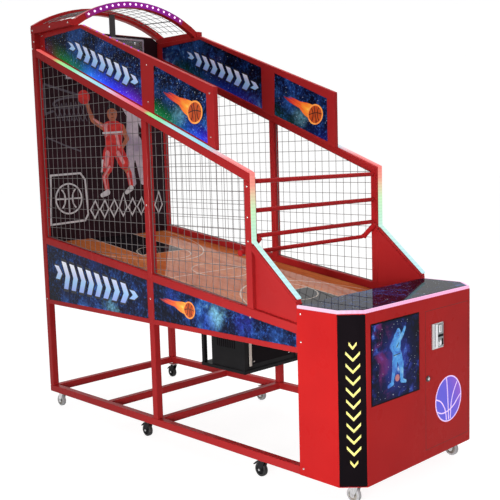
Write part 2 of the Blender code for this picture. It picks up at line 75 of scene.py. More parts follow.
# ------------------------------------------------------------------ materials
class Mat:
    """Small helper around a node tree."""

    def __init__(self, name, rough=0.4, metal=0.0, coat=0.0, coat_rough=0.05, ior=1.5, spec=0.22):
        self.m = bpy.data.materials.new(name)
        self.m.use_nodes = True
        self.t = self.m.node_tree
        self.b = self.t.nodes["Principled BSDF"]
        self.b.inputs["Roughness"].default_value = rough
        self.b.inputs["Metallic"].default_value = metal
        self.b.inputs["Coat Weight"].default_value = coat
        self.b.inputs["Coat Roughness"].default_value = coat_rough
        self.b.inputs["IOR"].default_value = ior
        self.b.inputs["Specular IOR Level"].default_value = 0.5 if metal else spec
        self.obj = None

    def node(self, kind, **attrs):
        nd = self.t.nodes.new(kind)
        for k, v in attrs.items():
            setattr(nd, k, v)
        return nd

    def put(self, sock, v):
        if isinstance(v, bpy.types.NodeSocket):
            self.t.links.new(v, sock)
        elif isinstance(v, (tuple, list)) and len(v) == 3 and sock.type == "RGBA":
            sock.default_value = (*v, 1.0)
        else:
            sock.default_value = v

    def P(self):
        if self.obj is None:
            self.obj = self.node("ShaderNodeTexCoord").outputs["Object"]
        return self.obj

    def xyz(self, vec=None):
        s = self.node("ShaderNodeSeparateXYZ")
        self.put(s.inputs[0], vec if vec is not None else self.P())
        return s.outputs[0], s.outputs[1], s.outputs[2]

    def vec(self, x, y, z):
        c = self.node("ShaderNodeCombineXYZ")
        for i, v in enumerate((x, y, z)):
            self.put(c.inputs[i], v)
        return c.outputs[0]

    def op(self, kind, a, b=0.0, c=0.0, clamp=False):
        n = self.node("ShaderNodeMath", operation=kind, use_clamp=clamp)
        self.put(n.inputs[0], a)
        self.put(n.inputs[1], b)
        self.put(n.inputs[2], c)
        return n.outputs[0]

    def step(self, v, lo, hi, a=0.0, b=1.0, smooth=True):
        n = self.node("ShaderNodeMapRange",
                      interpolation_type="SMOOTHSTEP" if smooth else "LINEAR")
        for i, x in zip(("Value", "From Min", "From Max", "To Min", "To Max"),
                        (v, lo, hi, a, b)):
            self.put(n.inputs[i], x)
        return n.outputs["Result"]

    def mix(self, f, a, b, blend="MIX"):
        n = self.node("ShaderNodeMix", data_type="RGBA", blend_type=blend)
        self.put(n.inputs[0], f)
        self.put(n.inputs[6], a)
        self.put(n.inputs[7], b)
        return n.outputs[2]

    def ramp(self, f, stops, interp="LINEAR"):
        n = self.node("ShaderNodeValToRGB")
        n.color_ramp.interpolation = interp
        el = n.color_ramp.elements
        while len(el) < len(stops):
            el.new(0.5)
        for e, (p, c) in zip(el, sorted(stops, key=lambda s: s[0])):
            e.position = p
            e.color = (*c, 1.0) if isinstance(c, tuple) else (c, c, c, 1.0)
        self.put(n.inputs[0], f)
        return n.outputs[0]

    def scaled(self, sx, sy, sz, off=(0, 0, 0)):
        n = self.node("ShaderNodeMapping")
        self.put(n.inputs["Vector"], self.P())
        n.inputs["Scale"].default_value = (sx, sy, sz)
        n.inputs["Location"].default_value = off
        return n.outputs[0]

    def noise(self, scale, detail=3.0, rough=0.5, vec=None, dist=0.0):
        n = self.node("ShaderNodeTexNoise")
        self.put(n.inputs["Vector"], vec if vec is not None else self.P())
        n.inputs["Scale"].default_value = scale
        n.inputs["Detail"].default_value = detail
        n.inputs["Roughness"].default_value = rough
        n.inputs["Distortion"].default_value = dist
        return n.outputs["Fac"]

    def voronoi(self, scale, vec=None, feature="F1"):
        n = self.node("ShaderNodeTexVoronoi", feature=feature)
        self.put(n.inputs["Vector"], vec if vec is not None else self.P())
        n.inputs["Scale"].default_value = scale
        return n

    def bump(self, h, strength, dist, normal=None):
        n = self.node("ShaderNodeBump")
        n.inputs["Strength"].default_value = strength
        n.inputs["Distance"].default_value = dist
        self.put(n.inputs["Height"], h)
        if normal is not None:
            self.put(n.inputs["Normal"], normal)
        return n.outputs[0]

    def color(self, c):
        self.put(self.b.inputs["Base Color"], c)

    def rough(self, v):
        self.put(self.b.inputs["Roughness"], v)

    def normal(self, v):
        self.put(self.b.inputs["Normal"], v)

    def glow(self, c, strength):
        self.put(self.b.inputs["Emission Color"], c)
        self.b.inputs["Emission Strength"].default_value = strength


def red_coat(name, base, dark, grime=0.0):
    """Powder-coated steel: fine orange peel, slow tone shift, dust and scuffs low down."""
    g = Mat(name, coat=0.05, coat_rough=0.08, spec=0.03)
    tone = g.noise(2.1, 4.0, 0.55)
    col = g.mix(g.step(tone, 0.35, 0.68), dark, base)
    speck = g.noise(95.0, 2.0, 0.6)
    col = g.mix(g.step(speck, 0.66, 0.80, 0.0, 0.07), col, tuple(c * 0.60 for c in base))
    scr = g.noise(60.0, 5.0, 0.66, vec=g.scaled(1.0, 1.0, 0.12), dist=0.2)
    x, y, z = g.xyz()
    low = g.step(z, 0.36, 0.06)
    mask = g.op("MULTIPLY", g.step(scr, 0.62, 0.76), g.op("MULTIPLY_ADD", low, 0.12, 0.01 + grime))
    col = g.mix(mask, col, (0.22, 0.030, 0.024))
    g.color(col)
    g.rough(g.step(g.noise(7.0, 4.0, 0.6), 0.3, 0.75, 0.25, 0.42))
    g.normal(g.bump(g.noise(330.0, 2.0, 0.5), 0.10, 0.0006))
    return g.m


RED = red_coat("red_powder_coat", (0.455, 0.024, 0.025), (0.405, 0.020, 0.022))
RED_F = red_coat("red_cabinet_coat", (0.535, 0.0150, 0.0145), (0.475, 0.0120, 0.0125))
RED_IN = red_coat("red_rail_coat", (0.470, 0.018, 0.020), (0.400, 0.014, 0.016))


def board(name, base, other, rough=(0.30, 0.48), grain=140.0):
    g = Mat(name, coat=0.02, coat_rough=0.15, spec=0.06)
    n = g.noise(3.0, 6.0, 0.6)
    col = g.mix(g.step(n, 0.35, 0.70), base, other)
    fine = g.noise(grain, 3.0, 0.65)
    col = g.mix(g.step(fine, 0.58, 0.75, 0.0, 0.25), col, tuple(min(1.0, c * 2.2 + 0.004) for c in other))
    g.color(col)
    g.rough(g.step(g.noise(11.0, 4.0, 0.6), 0.3, 0.7, *rough))
    g.normal(g.bump(fine, 0.14, 0.0006))
    return g.m


BLACK_WALL = board("black_wall_board", (0.0150, 0.0048, 0.0075), (0.030, 0.0095, 0.0150))
PLASTIC = board("black_moulded_plastic", (0.010, 0.010, 0.011), (0.018, 0.018, 0.020), (0.34, 0.52), 420.0)
PANEL_BLACK = board("black_gloss_vinyl", (0.0050, 0.0032, 0.0046), (0.0085, 0.0055, 0.0075), (0.16, 0.28), 240.0)
PANEL_BLACK.node_tree.nodes["Principled BSDF"].inputs["Specular IOR Level"].default_value = 0.02
TRAY_GREY = board("tray_edge_grey", (0.30, 0.28, 0.25), (0.38, 0.35, 0.31), (0.35, 0.5), 160.0)
LABEL = board("beige_connector_strip", (0.66, 0.62, 0.56), (0.74, 0.70, 0.64), (0.4, 0.55), 90.0)


def metal(name, base, rough, streak=(2.0, 2.0, 90.0), amount=0.12, metallic=1.0):
    g = Mat(name, metal=metallic)
    n = g.noise(8.0, 4.0, 0.6, vec=g.scaled(*streak))
    g.color(g.mix(g.step(n, 0.3, 0.7), base, tuple(c * (1 - amount * 1.6) for c in base)))
    g.rough(g.step(n, 0.3, 0.72, rough, rough + amount))
    g.normal(g.bump(n, 0.05, 0.0005))
    return g.m


STEEL = metal("brushed_steel", (0.62, 0.62, 0.63), 0.24)
CHROME = metal("chrome_plate", (0.78, 0.78, 0.80), 0.08, (5, 5, 5), 0.05)
ZINC = metal("zinc_plated_steel", (0.66, 0.66, 0.67), 0.30, (14, 14, 14), 0.14)
WIRE = metal("galvanised_wire", (0.190, 0.172, 0.174), 0.36, (30, 30, 30), 0.2, 0.55)
MECH = metal("grey_cast_mech", (0.30, 0.31, 0.32), 0.34, (40, 40, 40), 0.16, 0.75)
SCREW = metal("screw_head", (0.70, 0.66, 0.64), 0.22, (60, 60, 60), 0.10)


def rubber(name, base, other):
    g = Mat(name)
    n = g.noise(38.0, 5.0, 0.6)
    col = g.mix(g.step(n, 0.32, 0.68), base, other)
    dust = g.noise(9.0, 5.0, 0.7)
    col = g.mix(g.step(dust, 0.55, 0.78, 0.0, 0.35), col, (0.26, 0.24, 0.22))
    g.color(col)
    g.rough(g.step(n, 0.3, 0.7, 0.48, 0.68))
    g.normal(g.bump(g.noise(240.0, 2.0, 0.6), 0.2, 0.0006))
    return g.m


TYRE = rubber("grey_thermoplastic_tread", (0.50, 0.50, 0.51), (0.40, 0.40, 0.41))
TYRE_B = rubber("black_tread", (0.018, 0.018, 0.019), (0.030, 0.030, 0.031))


def cord_mat():
    g = Mat("braided_net_cord", rough=0.8)
    x, y, z = g.xyz()
    w = g.op("SINE", g.op("MULTIPLY", g.op("ADD", z, g.op("MULTIPLY", x, 0.7)), 1500.0))
    n = g.noise(160.0, 3.0, 0.6)
    col = g.mix(g.step(w, -1.0, 1.0), (0.66, 0.65, 0.62), (0.83, 0.82, 0.79))
    g.color(g.mix(g.step(n, 0.5, 0.8, 0.0, 0.3), col, (0.50, 0.47, 0.43)))
    g.normal(g.bump(w, 0.35, 0.0006))
    return g.m


CORD = cord_mat()


def rim_mat():
    g = Mat("orange_rim_coat", coat=0.2, coat_rough=0.2)
    n = g.noise(24.0, 4.0, 0.6)
    col = g.mix(g.step(n, 0.3, 0.7), (0.80, 0.155, 0.018), (0.66, 0.110, 0.012))
    chips = g.noise(70.0, 3.0, 0.7)
    g.color(g.mix(g.step(chips, 0.68, 0.76), col, (0.12, 0.06, 0.04)))
    g.rough(g.step(n, 0.3, 0.7, 0.28, 0.44))
    g.normal(g.bump(g.noise(300.0, 2.0, 0.5), 0.12, 0.0006))
    return g.m


RIM = rim_mat()


def clear_mat():
    g = Mat("clear_polycarbonate", rough=0.03, ior=1.46)
    g.b.inputs["Transmission Weight"].default_value = 0.92
    n = g.noise(6.0, 4.0, 0.6)
    g.color(g.mix(g.step(n, 0.3, 0.7), (0.90, 0.95, 0.96), (0.84, 0.91, 0.93)))
    s = g.noise(44.0, 4.0, 0.7, vec=g.scaled(1.0, 1.0, 4.0))
    g.rough(g.step(s, 0.60, 0.80, 0.02, 0.16))
    return g.m


CLEAR = clear_mat()


def paint(name, base, other, rough=0.4, scale=30.0, glow=0.0, bump=0.05):
    """Screen-printed ink or vinyl with a slight tone shift; glow adds emission, a lamp on the light dots and painted
    light on the inks.
    """
    g = Mat(name, rough=rough, coat=0.06, coat_rough=0.15)
    n = g.noise(scale, 4.0, 0.6)
    col = g.mix(g.step(n, 0.3, 0.7), base, other)
    g.color(col)
    g.rough(g.step(n, 0.3, 0.75, rough - 0.06, rough + 0.08))
    g.normal(g.bump(g.noise(400.0, 2.0, 0.5), bump, 0.0004))
    # on an ink, glow is painted light: emission that brightens the print though it is no lamp
    if glow:
        g.glow(col, glow)
    return g.m


INK_WHITE = paint("white_line_ink", (0.62, 0.60, 0.62), (0.50, 0.48, 0.51))
INK_GREY = paint("grey_line_ink", (0.090, 0.074, 0.094), (0.062, 0.050, 0.068))
INK_BLACK = paint("black_outline_ink", (0.006, 0.006, 0.010), (0.012, 0.012, 0.018))
INK_YELLOW = paint("pale_yellow_vinyl", lin(255, 246, 150), lin(250, 236, 128))
# painted light: the lilac ink's glow brightens the print though it is no lamp
INK_LILAC = paint("lilac_white_vinyl", lin(238, 206, 252), lin(226, 196, 250), glow=0.40)
INK_RED = paint("red_print", lin(214, 52, 46), lin(172, 34, 40))
INK_PINK = paint("pale_pink_print", lin(222, 150, 150), lin(196, 118, 124))
INK_SKIN = paint("warm_brown_print", lin(176, 104, 76), lin(150, 82, 60))
INK_PALE = paint("pale_grey_print", lin(198, 184, 194), lin(150, 136, 156), scale=9.0)
# painted light: glow on the orange ball ink and the hot rim ink brightens them though they are no lamp
INK_ORANGE = paint("orange_ball_print", lin(216, 92, 30), lin(178, 58, 20), glow=0.06)
INK_RIM = paint("hot_rim_print", lin(255, 176, 84), lin(250, 136, 60), glow=0.22)
INK_SEAM = paint("dark_seam_print", lin(70, 24, 14), lin(52, 18, 12))


def disc_mat():
    """Purple-blue ball decal: lighter and bluer towards one side."""
    g = Mat("violet_ball_vinyl", rough=0.28, coat=0.3, coat_rough=0.08)
    x, y, z = g.xyz()
    t = g.step(g.op("ADD", x, g.op("MULTIPLY", z, 0.5)), 0.38, 0.52, smooth=False)
    n = g.noise(16.0, 4.0, 0.6)
    t = g.op("ADD", t, g.op("MULTIPLY_ADD", n, 0.3, -0.15), clamp=True)
    g.color(g.ramp(t, [(0.0, lin(82, 74, 214)), (0.5, lin(92, 66, 206)), (1.0, lin(132, 68, 196))]))
    # painted light: emission brightens the decal, which is no lamp
    g.glow(g.ramp(t, [(0.0, lin(82, 74, 214)), (1.0, lin(140, 66, 214))]), 0.34)
    g.normal(g.bump(g.noise(380.0, 2.0, 0.5), 0.05, 0.0004))
    return g.m


DISC = disc_mat()


def galaxy(name, shift=(0, 0, 0), bright=1.0, glow=None, spots=(), rough=0.16, extra_dark=None):
    """Printed night sky: layered clouds, two sizes of star, named bright clouds.
    spots: (y, z, radius, colour, strength) in the row frame's YZ plane.
    glow: (list of (y, colour)) for painted light: emission on the lower edge that stands in for light spilled by the
    light strip."""
    g = Mat(name, rough=rough, coat=0.06, coat_rough=0.05, spec=0.06)
    p = g.node("ShaderNodeVectorMath", operation="ADD")
    g.put(p.inputs[0], g.P())
    p.inputs[1].default_value = shift
    v = p.outputs[0]
    n1 = g.noise(3.3, 8.0, 0.62, vec=v, dist=0.5)
    n2 = g.noise(7.5, 8.0, 0.68, vec=v, dist=0.9)
    n3 = g.noise(2.0, 5.0, 0.55, vec=v)
    cloud = g.op("MULTIPLY", g.step(n1, 0.40, 0.66), g.step(n2, 0.30, 0.68))
    col = g.ramp(cloud, [(0.0, (0.0020, 0.0026, 0.011)), (0.25, (0.0040, 0.0080, 0.045)),
                         (0.52, (0.009, 0.036, 0.190)), (0.80, (0.03, 0.14, 0.50)),
                         (1.0, (0.22, 0.50, 0.85))])
    col = g.mix(g.step(n3, 0.54, 0.76, 0.0, 0.40), col, (0.030, 0.009, 0.085))
    fine = g.noise(58.0, 7.0, 0.80, vec=v)
    col = g.mix(g.op("MULTIPLY", g.step(fine, 0.50, 0.64), g.step(n1, 0.36, 0.58, 0.10, 0.90)),
                col, (0.045, 0.18, 0.66))
    hole = g.noise(21.0, 7.0, 0.75, vec=v)
    col = g.mix(g.step(hole, 0.56, 0.42, 0.0, 0.55), col, (0.0022, 0.0030, 0.013))
    x, y, z = g.xyz()
    for sy, sz, rad, c, k in spots:
        dy = g.op("SUBTRACT", y, sy)
        dz = g.op("SUBTRACT", z, sz)
        d = g.op("SQRT", g.op("ADD", g.op("MULTIPLY", dy, dy), g.op("MULTIPLY", dz, dz)))
        d = g.op("ADD", d, g.op("MULTIPLY_ADD", n2, rad * 1.9, -rad * 0.95))
        grit = g.op("MULTIPLY", g.step(hole, 0.36, 0.56, 0.25, 1.0), g.step(fine, 0.40, 0.60, 0.45, 1.0))
        col = g.mix(g.op("MULTIPLY", g.op("MULTIPLY", g.step(d, rad, 0.0), k), grit), col, c)
    for scale, size, keep, k in ((46.0, 0.16, 0.52, 0.85), (17.0, 0.105, 0.60, 1.0), (95.0, 0.20, 0.55, 0.55)):
        vo = g.voronoi(scale, vec=v)
        star = g.step(vo.outputs["Distance"], size, size * 0.25)
        sep = g.node("ShaderNodeSeparateColor")
        g.put(sep.inputs[0], vo.outputs["Color"])
        pick = g.step(sep.outputs[0], keep, keep + 0.04)
        col = g.mix(g.op("MULTIPLY", g.op("MULTIPLY", star, pick), k), col, (0.72, 0.84, 1.0))
    if bright != 1.0:
        col = g.mix(1.0, col, (bright, bright, bright), "MULTIPLY")
    g.color(col)
    # painted light: emission fading with height above the slope rail stands in for the light strip's spill, fainter on
    # faces turned inwards
    if glow:
        base, stops = glow
        lo, hi = stops[0][0], stops[-1][0]
        t = g.step(y, lo, hi, smooth=False)
        gc = g.ramp(t, [((s - lo) / (hi - lo), c) for s, c in stops])
        h = g.op("SUBTRACT", z, g.op("MULTIPLY_ADD", y, base[1], base[0]))
        f = g.op("POWER", g.step(h, 0.115, 0.0, smooth=False), 1.6)
        geo = g.node("ShaderNodeNewGeometry")
        nx, ny, nz = g.xyz(geo.outputs["Normal"])
        outer = g.step(g.op("MULTIPLY", x, nx), -0.05, 0.05, 0.10, 1.0)
        painted_spill_col = g.mix(g.op("MULTIPLY", f, outer), (0.0, 0.0, 0.0), gc)
        g.glow(painted_spill_col, 1.7)
    g.normal(g.bump(g.noise(420.0, 2.0, 0.5), 0.03, 0.0004))
    return g.m


CYAN = lin(150, 225, 250)
NEB = lin(60, 120, 215)


# base line of the painted light spill on the header print
def painted_spill_line():
    # height of the slope rail's top as a + b*y in row-frame y
    b = 0.412
    a = rail_top(YO)
    return (a, b)


def ys(v):
    return v - YO


# colours of the painted light spill on the header print, by row-frame y
PAINTED_SPILL_STOPS = [(ys(0.86), lin(96, 30, 190)), (ys(0.96), lin(40, 30, 190)), (ys(1.08), lin(14, 60, 130)),
              (ys(1.20), lin(6, 92, 46)), (ys(1.34), lin(10, 112, 40)), (ys(1.41), lin(86, 14, 130)),
              (ys(1.52), lin(90, 40, 200)), (ys(1.66), lin(48, 40, 220)), (ys(1.78), lin(40, 74, 235)),
              (ys(1.90), lin(36, 110, 215)), (ys(2.00), lin(8, 84, 84)), (ys(2.12), lin(4, 96, 30)),
              (ys(2.20), lin(14, 84, 22)), (ys(2.30), lin(70, 14, 10))]
GALAXY_HEAD = galaxy("night_sky_header", (0.3, 0.2, 0.1), 0.95, (painted_spill_line(), PAINTED_SPILL_STOPS),
                     spots=((ys(2.03), 2.235, 0.13, NEB, 0.75), (ys(1.79), 2.16, 0.07, NEB, 0.35),
                            (ys(1.62), 1.99, 0.11, lin(44, 84, 190), 0.40),
                            (ys(1.20), 1.84, 0.09, NEB, 0.60), (ys(1.13), 1.76, 0.08, CYAN, 0.55),
                            (ys(1.31), 1.90, 0.06, lin(60, 110, 190), 0.55)))
GALAXY_APRON = galaxy("night_sky_apron", (1.7, 0.4, 0.9), 1.0,
                      spots=((ys(1.90), 0.915, 0.10, lin(50, 90, 200), 0.45), (ys(1.75), 0.72, 0.09, CYAN, 0.60),
                             (ys(2.28), 0.90, 0.07, NEB, 0.5), (ys(1.20), 0.82, 0.09, lin(50, 90, 210), 0.7),
                             (ys(0.86), 0.765, 0.085, CYAN, 0.85), (ys(0.93), 0.72, 0.09, lin(52, 96, 220), 0.75),
                             (ys(0.66), 0.74, 0.10, lin(52, 60, 190), 0.65), (ys(0.44), 0.72, 0.08, NEB, 0.4)))
GALAXY_TOP = galaxy("night_sky_plate", (0.9, 2.1, 0.3), 0.55, rough=0.04)
GALAXY_TOP.node_tree.nodes["Principled BSDF"].inputs["Coat Weight"].default_value = 0.34
GALAXY_TOP.node_tree.nodes["Principled BSDF"].inputs["Coat Roughness"].default_value = 0.02
GALAXY_TOP.node_tree.nodes["Principled BSDF"].inputs["Specular IOR Level"].default_value = 0.0


def poster_mat():
    """Dark star print with blue haze round the middle of the sheet."""
    g = Mat("night_sky_poster", rough=0.22, coat=0.04, coat_rough=0.06, spec=0.04)
    v = g.scaled(1.0, 1.0, 1.0, (4.1, 0.7, 2.2))
    n1 = g.noise(7.0, 8.0, 0.62, vec=v, dist=0.6)
    n2 = g.noise(15.0, 7.0, 0.66, vec=v, dist=0.7)
    x, y, z = g.xyz()
    dx = g.op("MULTIPLY", g.op("SUBTRACT", x, -0.205), 1.5)
    dz = g.op("SUBTRACT", z, 0.615)
    d = g.op("SQRT", g.op("ADD", g.op("MULTIPLY", dx, dx), g.op("MULTIPLY", dz, dz)))
    haze = g.step(g.op("ADD", d, g.op("MULTIPLY_ADD", n1, 0.22, -0.11)), 0.26, 0.04)
    cloud = g.op("ADD", g.op("MULTIPLY", g.step(n1, 0.42, 0.68), g.step(n2, 0.32, 0.70)),
                 g.op("MULTIPLY", haze, 0.42), clamp=True)
    col = g.ramp(cloud, [(0.0, (0.0018, 0.0022, 0.011)), (0.28, (0.006, 0.012, 0.090)),
                         (0.52, (0.030, 0.050, 0.360)), (0.78, (0.085, 0.230, 0.760)), (1.0, (0.48, 0.70, 0.95))])
    warm = g.noise(9.0, 6.0, 0.6, vec=g.scaled(1.0, 1.0, 1.0, (0.5, 3.0, 1.2)), dist=0.5)
    left = g.step(x, -0.20, -0.32)
    col = g.mix(g.op("MULTIPLY", g.step(warm, 0.50, 0.66), g.op("MULTIPLY", left, 0.60)), col, lin(150, 48, 128))
    for scale, size, keep, k in ((70.0, 0.17, 0.50, 0.9), (26.0, 0.11, 0.60, 1.0)):
        vo = g.voronoi(scale, vec=v)
        star = g.step(vo.outputs["Distance"], size, size * 0.25)
        sep = g.node("ShaderNodeSeparateColor")
        g.put(sep.inputs[0], vo.outputs["Color"])
        col = g.mix(g.op("MULTIPLY", g.op("MULTIPLY", star, g.step(sep.outputs[0], keep, keep + 0.04)), k),
                    col, (0.72, 0.84, 1.0))
    g.color(col)
    g.normal(g.bump(g.noise(420.0, 2.0, 0.5), 0.03, 0.0004))
    return g.m


POSTER = poster_mat()


def figure_blue():
    g = Mat("cyan_figure_print", rough=0.3, coat=0.3, coat_rough=0.08)
    n = g.noise(22.0, 6.0, 0.65, dist=0.8)
    x, y, z = g.xyz()
    t = g.op("ADD", g.step(x, -0.30, -0.14, 0.0, 0.35, smooth=False), g.step(n, 0.25, 0.75, 0.0, 0.65), clamp=True)
    col = g.ramp(t, [(0.0, lin(30, 58, 170)), (0.35, lin(36, 110, 214)), (0.65, lin(58, 158, 236)),
                     (1.0, lin(160, 222, 250))])
    g.color(col)
    # painted light: emission brightens the printed figure, which is no lamp
    g.glow(col, 0.10)
    g.normal(g.bump(n, 0.05, 0.0004))
    return g.m


CYAN_FIG = figure_blue()


def flame_mat(name, ball, tail):
    """Hot near the ball, dark red at the tip, with streaks along its length."""
    g = Mat(name, rough=0.3, coat=0.3, coat_rough=0.08)
    x, y, z = g.xyz()
    d = (tail[0] - ball[0], tail[1] - ball[1])
    ln = math.hypot(*d)
    ux, uz = d[0] / ln, d[1] / ln
    dy = g.op("SUBTRACT", y, ball[0] - YO)
    dz = g.op("SUBTRACT", z, ball[1])
    t = g.op("DIVIDE", g.op("ADD", g.op("MULTIPLY", dy, ux), g.op("MULTIPLY", dz, uz)), ln)
    s = g.op("ADD", g.op("MULTIPLY", dy, -uz), g.op("MULTIPLY", dz, ux))
    v = g.vec(g.op("MULTIPLY", t, 1.6), g.op("MULTIPLY", s, 42.0), 0.3)
    n = g.noise(2.2, 5.0, 0.6, vec=v, dist=0.3)
    edge = g.op("MULTIPLY", g.op("ABSOLUTE", s), 9.0)
    h = g.op("ADD", g.op("ADD", t, g.op("MULTIPLY_ADD", n, 0.7, -0.35)), g.op("MULTIPLY_ADD", edge, 0.55, -0.12), clamp=True)
    col = g.ramp(h, [(0.0, lin(255, 214, 96)), (0.20, lin(252, 156, 44)), (0.42, lin(236, 96, 32)),
                     (0.70, lin(204, 44, 36)), (1.0, lin(96, 18, 40))])
    g.color(col)
    # painted light: emission brightens the printed flame, which is no lamp
    g.glow(col, 0.22)
    g.normal(g.bump(n, 0.04, 0.0004))
    return g.m


def chevron_mat(name, a, b, lo, hi):
    """White-blue gradient ink, from the lower edge to the upper one (height above a sloping line)."""
    g = Mat(name, rough=0.3, coat=0.3, coat_rough=0.08)
    x, y, z = g.xyz()
    h = g.op("SUBTRACT", z, g.op("MULTIPLY_ADD", y, b, a))
    t = g.step(h, lo, hi, smooth=False)
    n = g.noise(40.0, 4.0, 0.6)
    t = g.op("ADD", t, g.op("MULTIPLY_ADD", n, 0.3, -0.15), clamp=True)
    col = g.ramp(t, [(0.0, lin(140, 160, 226)), (0.35, lin(150, 192, 236)), (0.6, lin(190, 200, 236)),
                     (1.0, lin(236, 238, 248))])
    g.color(col)
    # painted light: emission makes the chevron ink look whiter, though it is no lamp
    g.glow(col, 0.26)
    g.normal(g.bump(n, 0.05, 0.0004))
    return g.m


def court_mat():
    """Varnished strip floor printed as a small court."""
    g = Mat("varnished_court", coat=0.52, coat_rough=0.035, ior=1.5, spec=0.0)
    g.b.inputs["Coat IOR"].default_value = 1.5
    x, y, z = g.xyz()
    br = g.node("ShaderNodeTexBrick", offset=0.37, squash=1.0)
    g.put(br.inputs["Vector"], g.vec(y, x, 0.0))
    g.put(br.inputs["Color1"], lin(206, 118, 66))
    g.put(br.inputs["Color2"], lin(180, 92, 50))
    g.put(br.inputs["Mortar"], lin(96, 50, 26))
    br.inputs["Scale"].default_value = 1.0
    br.inputs["Mortar Size"].default_value = 0.0007
    br.inputs["Mortar Smooth"].default_value = 0.3
    br.inputs["Bias"].default_value = 0.0
    br.inputs["Brick Width"].default_value = 0.46
    br.inputs["Row Height"].default_value = 0.057
    grain = g.noise(9.0, 6.0, 0.62, vec=g.scaled(9.0, 0.8, 1.0), dist=0.8)
    pore = g.noise(60.0, 4.0, 0.7, vec=g.scaled(8.0, 0.5, 1.0))
    col = g.mix(g.step(grain, 0.35, 0.68, 0.0, 0.45), br.outputs["Color"], lin(150, 78, 40))
    col = g.mix(g.step(pore, 0.56, 0.74, 0.0, 0.35), col, lin(112, 58, 30))

    def band(v, lo, hi, soft=0.0012):
        return g.op("MULTIPLY", g.step(v, lo - soft, lo + soft), g.step(v, hi + soft, hi - soft))

    ax = g.op("ABSOLUTE", x)
    black = (0.010, 0.008, 0.010)
    white = lin(226, 214, 200)
    keys = g.op("MAXIMUM",
                g.op("MULTIPLY", g.step(ax, 0.1655, 0.1635), g.step(y, ys(0.852), ys(0.848))),
                g.op("MULTIPLY", g.step(ax, 0.1655, 0.1635), g.step(y, ys(1.878), ys(1.882))))
    col = g.mix(keys, col, black)
    lines = []
    for a, b in ((ys(1.8775), ys(1.8845)), (ys(0.8455), ys(0.8525))):
        lines.append(g.op("MULTIPLY", band(y, a, b), g.step(ax, 0.172, 0.170)))
    lines.append(g.op("MULTIPLY", band(ax, 0.1645, 0.1715), g.op("MAXIMUM", g.step(y, ys(0.852), ys(0.848)), g.step(y, ys(1.878), ys(1.882)))))
    lines.append(band(y, ys(1.3665), ys(1.3735)))
    for cy, r in ((1.37, 0.16), (1.88, 0.165), (0.848, 0.165)):
        dy = g.op("SUBTRACT", y, ys(cy))
        d = g.op("SQRT", g.op("ADD", g.op("MULTIPLY", dy, dy), g.op("MULTIPLY", x, x)))
        lines.append(band(d, r - 0.0035, r + 0.0035))
    for cy, r in ((2.33, 0.66), (0.36, 0.70)):
        dy = g.op("SUBTRACT", y, ys(cy))
        xx = g.op("MULTIPLY", x, 1.55)
        d = g.op("SQRT", g.op("ADD", g.op("MULTIPLY", dy, dy), g.op("MULTIPLY", xx, xx)))
        lines.append(band(d, r - 0.005, r + 0.005, 0.0018))
    m = lines[0]
    for l in lines[1:]:
        m = g.op("MAXIMUM", m, l)
    col = g.mix(g.op("MULTIPLY", m, 0.60), col, white)
    geo = g.node("ShaderNodeNewGeometry")
    nx, ny, nz = g.xyz(geo.outputs["Normal"])
    under = g.step(nz, 0.5, 0.2)
    ply = g.mix(g.step(g.noise(5.0, 6.0, 0.6, vec=g.scaled(6.0, 0.7, 60.0)), 0.3, 0.7), lin(186, 142, 96), lin(150, 104, 64))
    g.color(g.mix(under, col, ply))
    g.rough(g.step(pore, 0.3, 0.7, 0.16, 0.26))
    g.normal(g.bump(grain, 0.02, 0.0006))
    return g.m


COURT = court_mat()


def led_mat(name, axis, stops, strength, pitch=0.0166):
    """Milky diffuser lit from within; stops are (row-frame coordinate, colour)."""
    g = Mat(name, rough=0.35)
    c = dict(zip("xyz", g.xyz()))[axis]
    stops = sorted(stops, key=lambda s: s[0])
    lo, hi = stops[0][0], stops[-1][0]
    col = g.ramp(g.step(c, lo, hi, smooth=False), [((s - lo) / (hi - lo), k) for s, k in stops])
    dots = g.step(g.op("SINE", g.op("MULTIPLY", c, 2 * math.pi / pitch)), -1.0, 1.0, 0.92, 1.0)
    n = g.noise(60.0, 3.0, 0.6)
    col = g.mix(g.step(n, 0.4, 0.8, 0.0, 0.08), col, (0.55, 0.55, 0.60))
    col = g.mix(1.0, col, g.vec(dots, dots, dots), "MULTIPLY")
    g.color(g.mix(1.0, col, (0.12, 0.12, 0.12), "MULTIPLY"))
    g.b.inputs["Specular IOR Level"].default_value = 0.2
    g.glow(col, strength)
    g.normal(g.bump(n, 0.05, 0.0005))
    return g.m


PINK, ROSE = lin(255, 150, 150), lin(250, 96, 96)
MINT, CYW, GRW = lin(140, 244, 180), lin(164, 232, 246), lin(168, 246, 150)
LED_SLOPE = led_mat("light_strip_slope", "y",
                    [(ys(0.59), lin(250, 120, 120)), (ys(0.74), lin(248, 140, 140)), (ys(0.83), lin(236, 196, 206)),
                     (ys(0.90), CYW), (ys(1.16), lin(190, 236, 244)), (ys(1.26), MINT), (ys(1.34), GRW),
                     (ys(1.37), lin(226, 130, 110)), (ys(1.46), lin(246, 120, 130)), (ys(1.60), lin(250, 150, 165)),
                     (ys(1.68), lin(236, 206, 232)), (ys(1.76), CYW), (ys(1.93), lin(200, 244, 240)),
                     (ys(2.04), MINT), (ys(2.14), lin(176, 246, 160)), (ys(2.185), lin(190, 220, 130)),
                     (ys(2.23), lin(240, 110, 96)), (ys(2.41), lin(245, 92, 92))], 0.92)
LED_POST = led_mat("light_strip_post", "z",
                   [(1.125, lin(200, 242, 228)), (1.20, lin(196, 244, 214)), (1.30, lin(206, 246, 196)),
                    (1.37, lin(238, 206, 170)), (1.41, lin(250, 160, 140)), (1.48, lin(252, 128, 126))], 0.95)
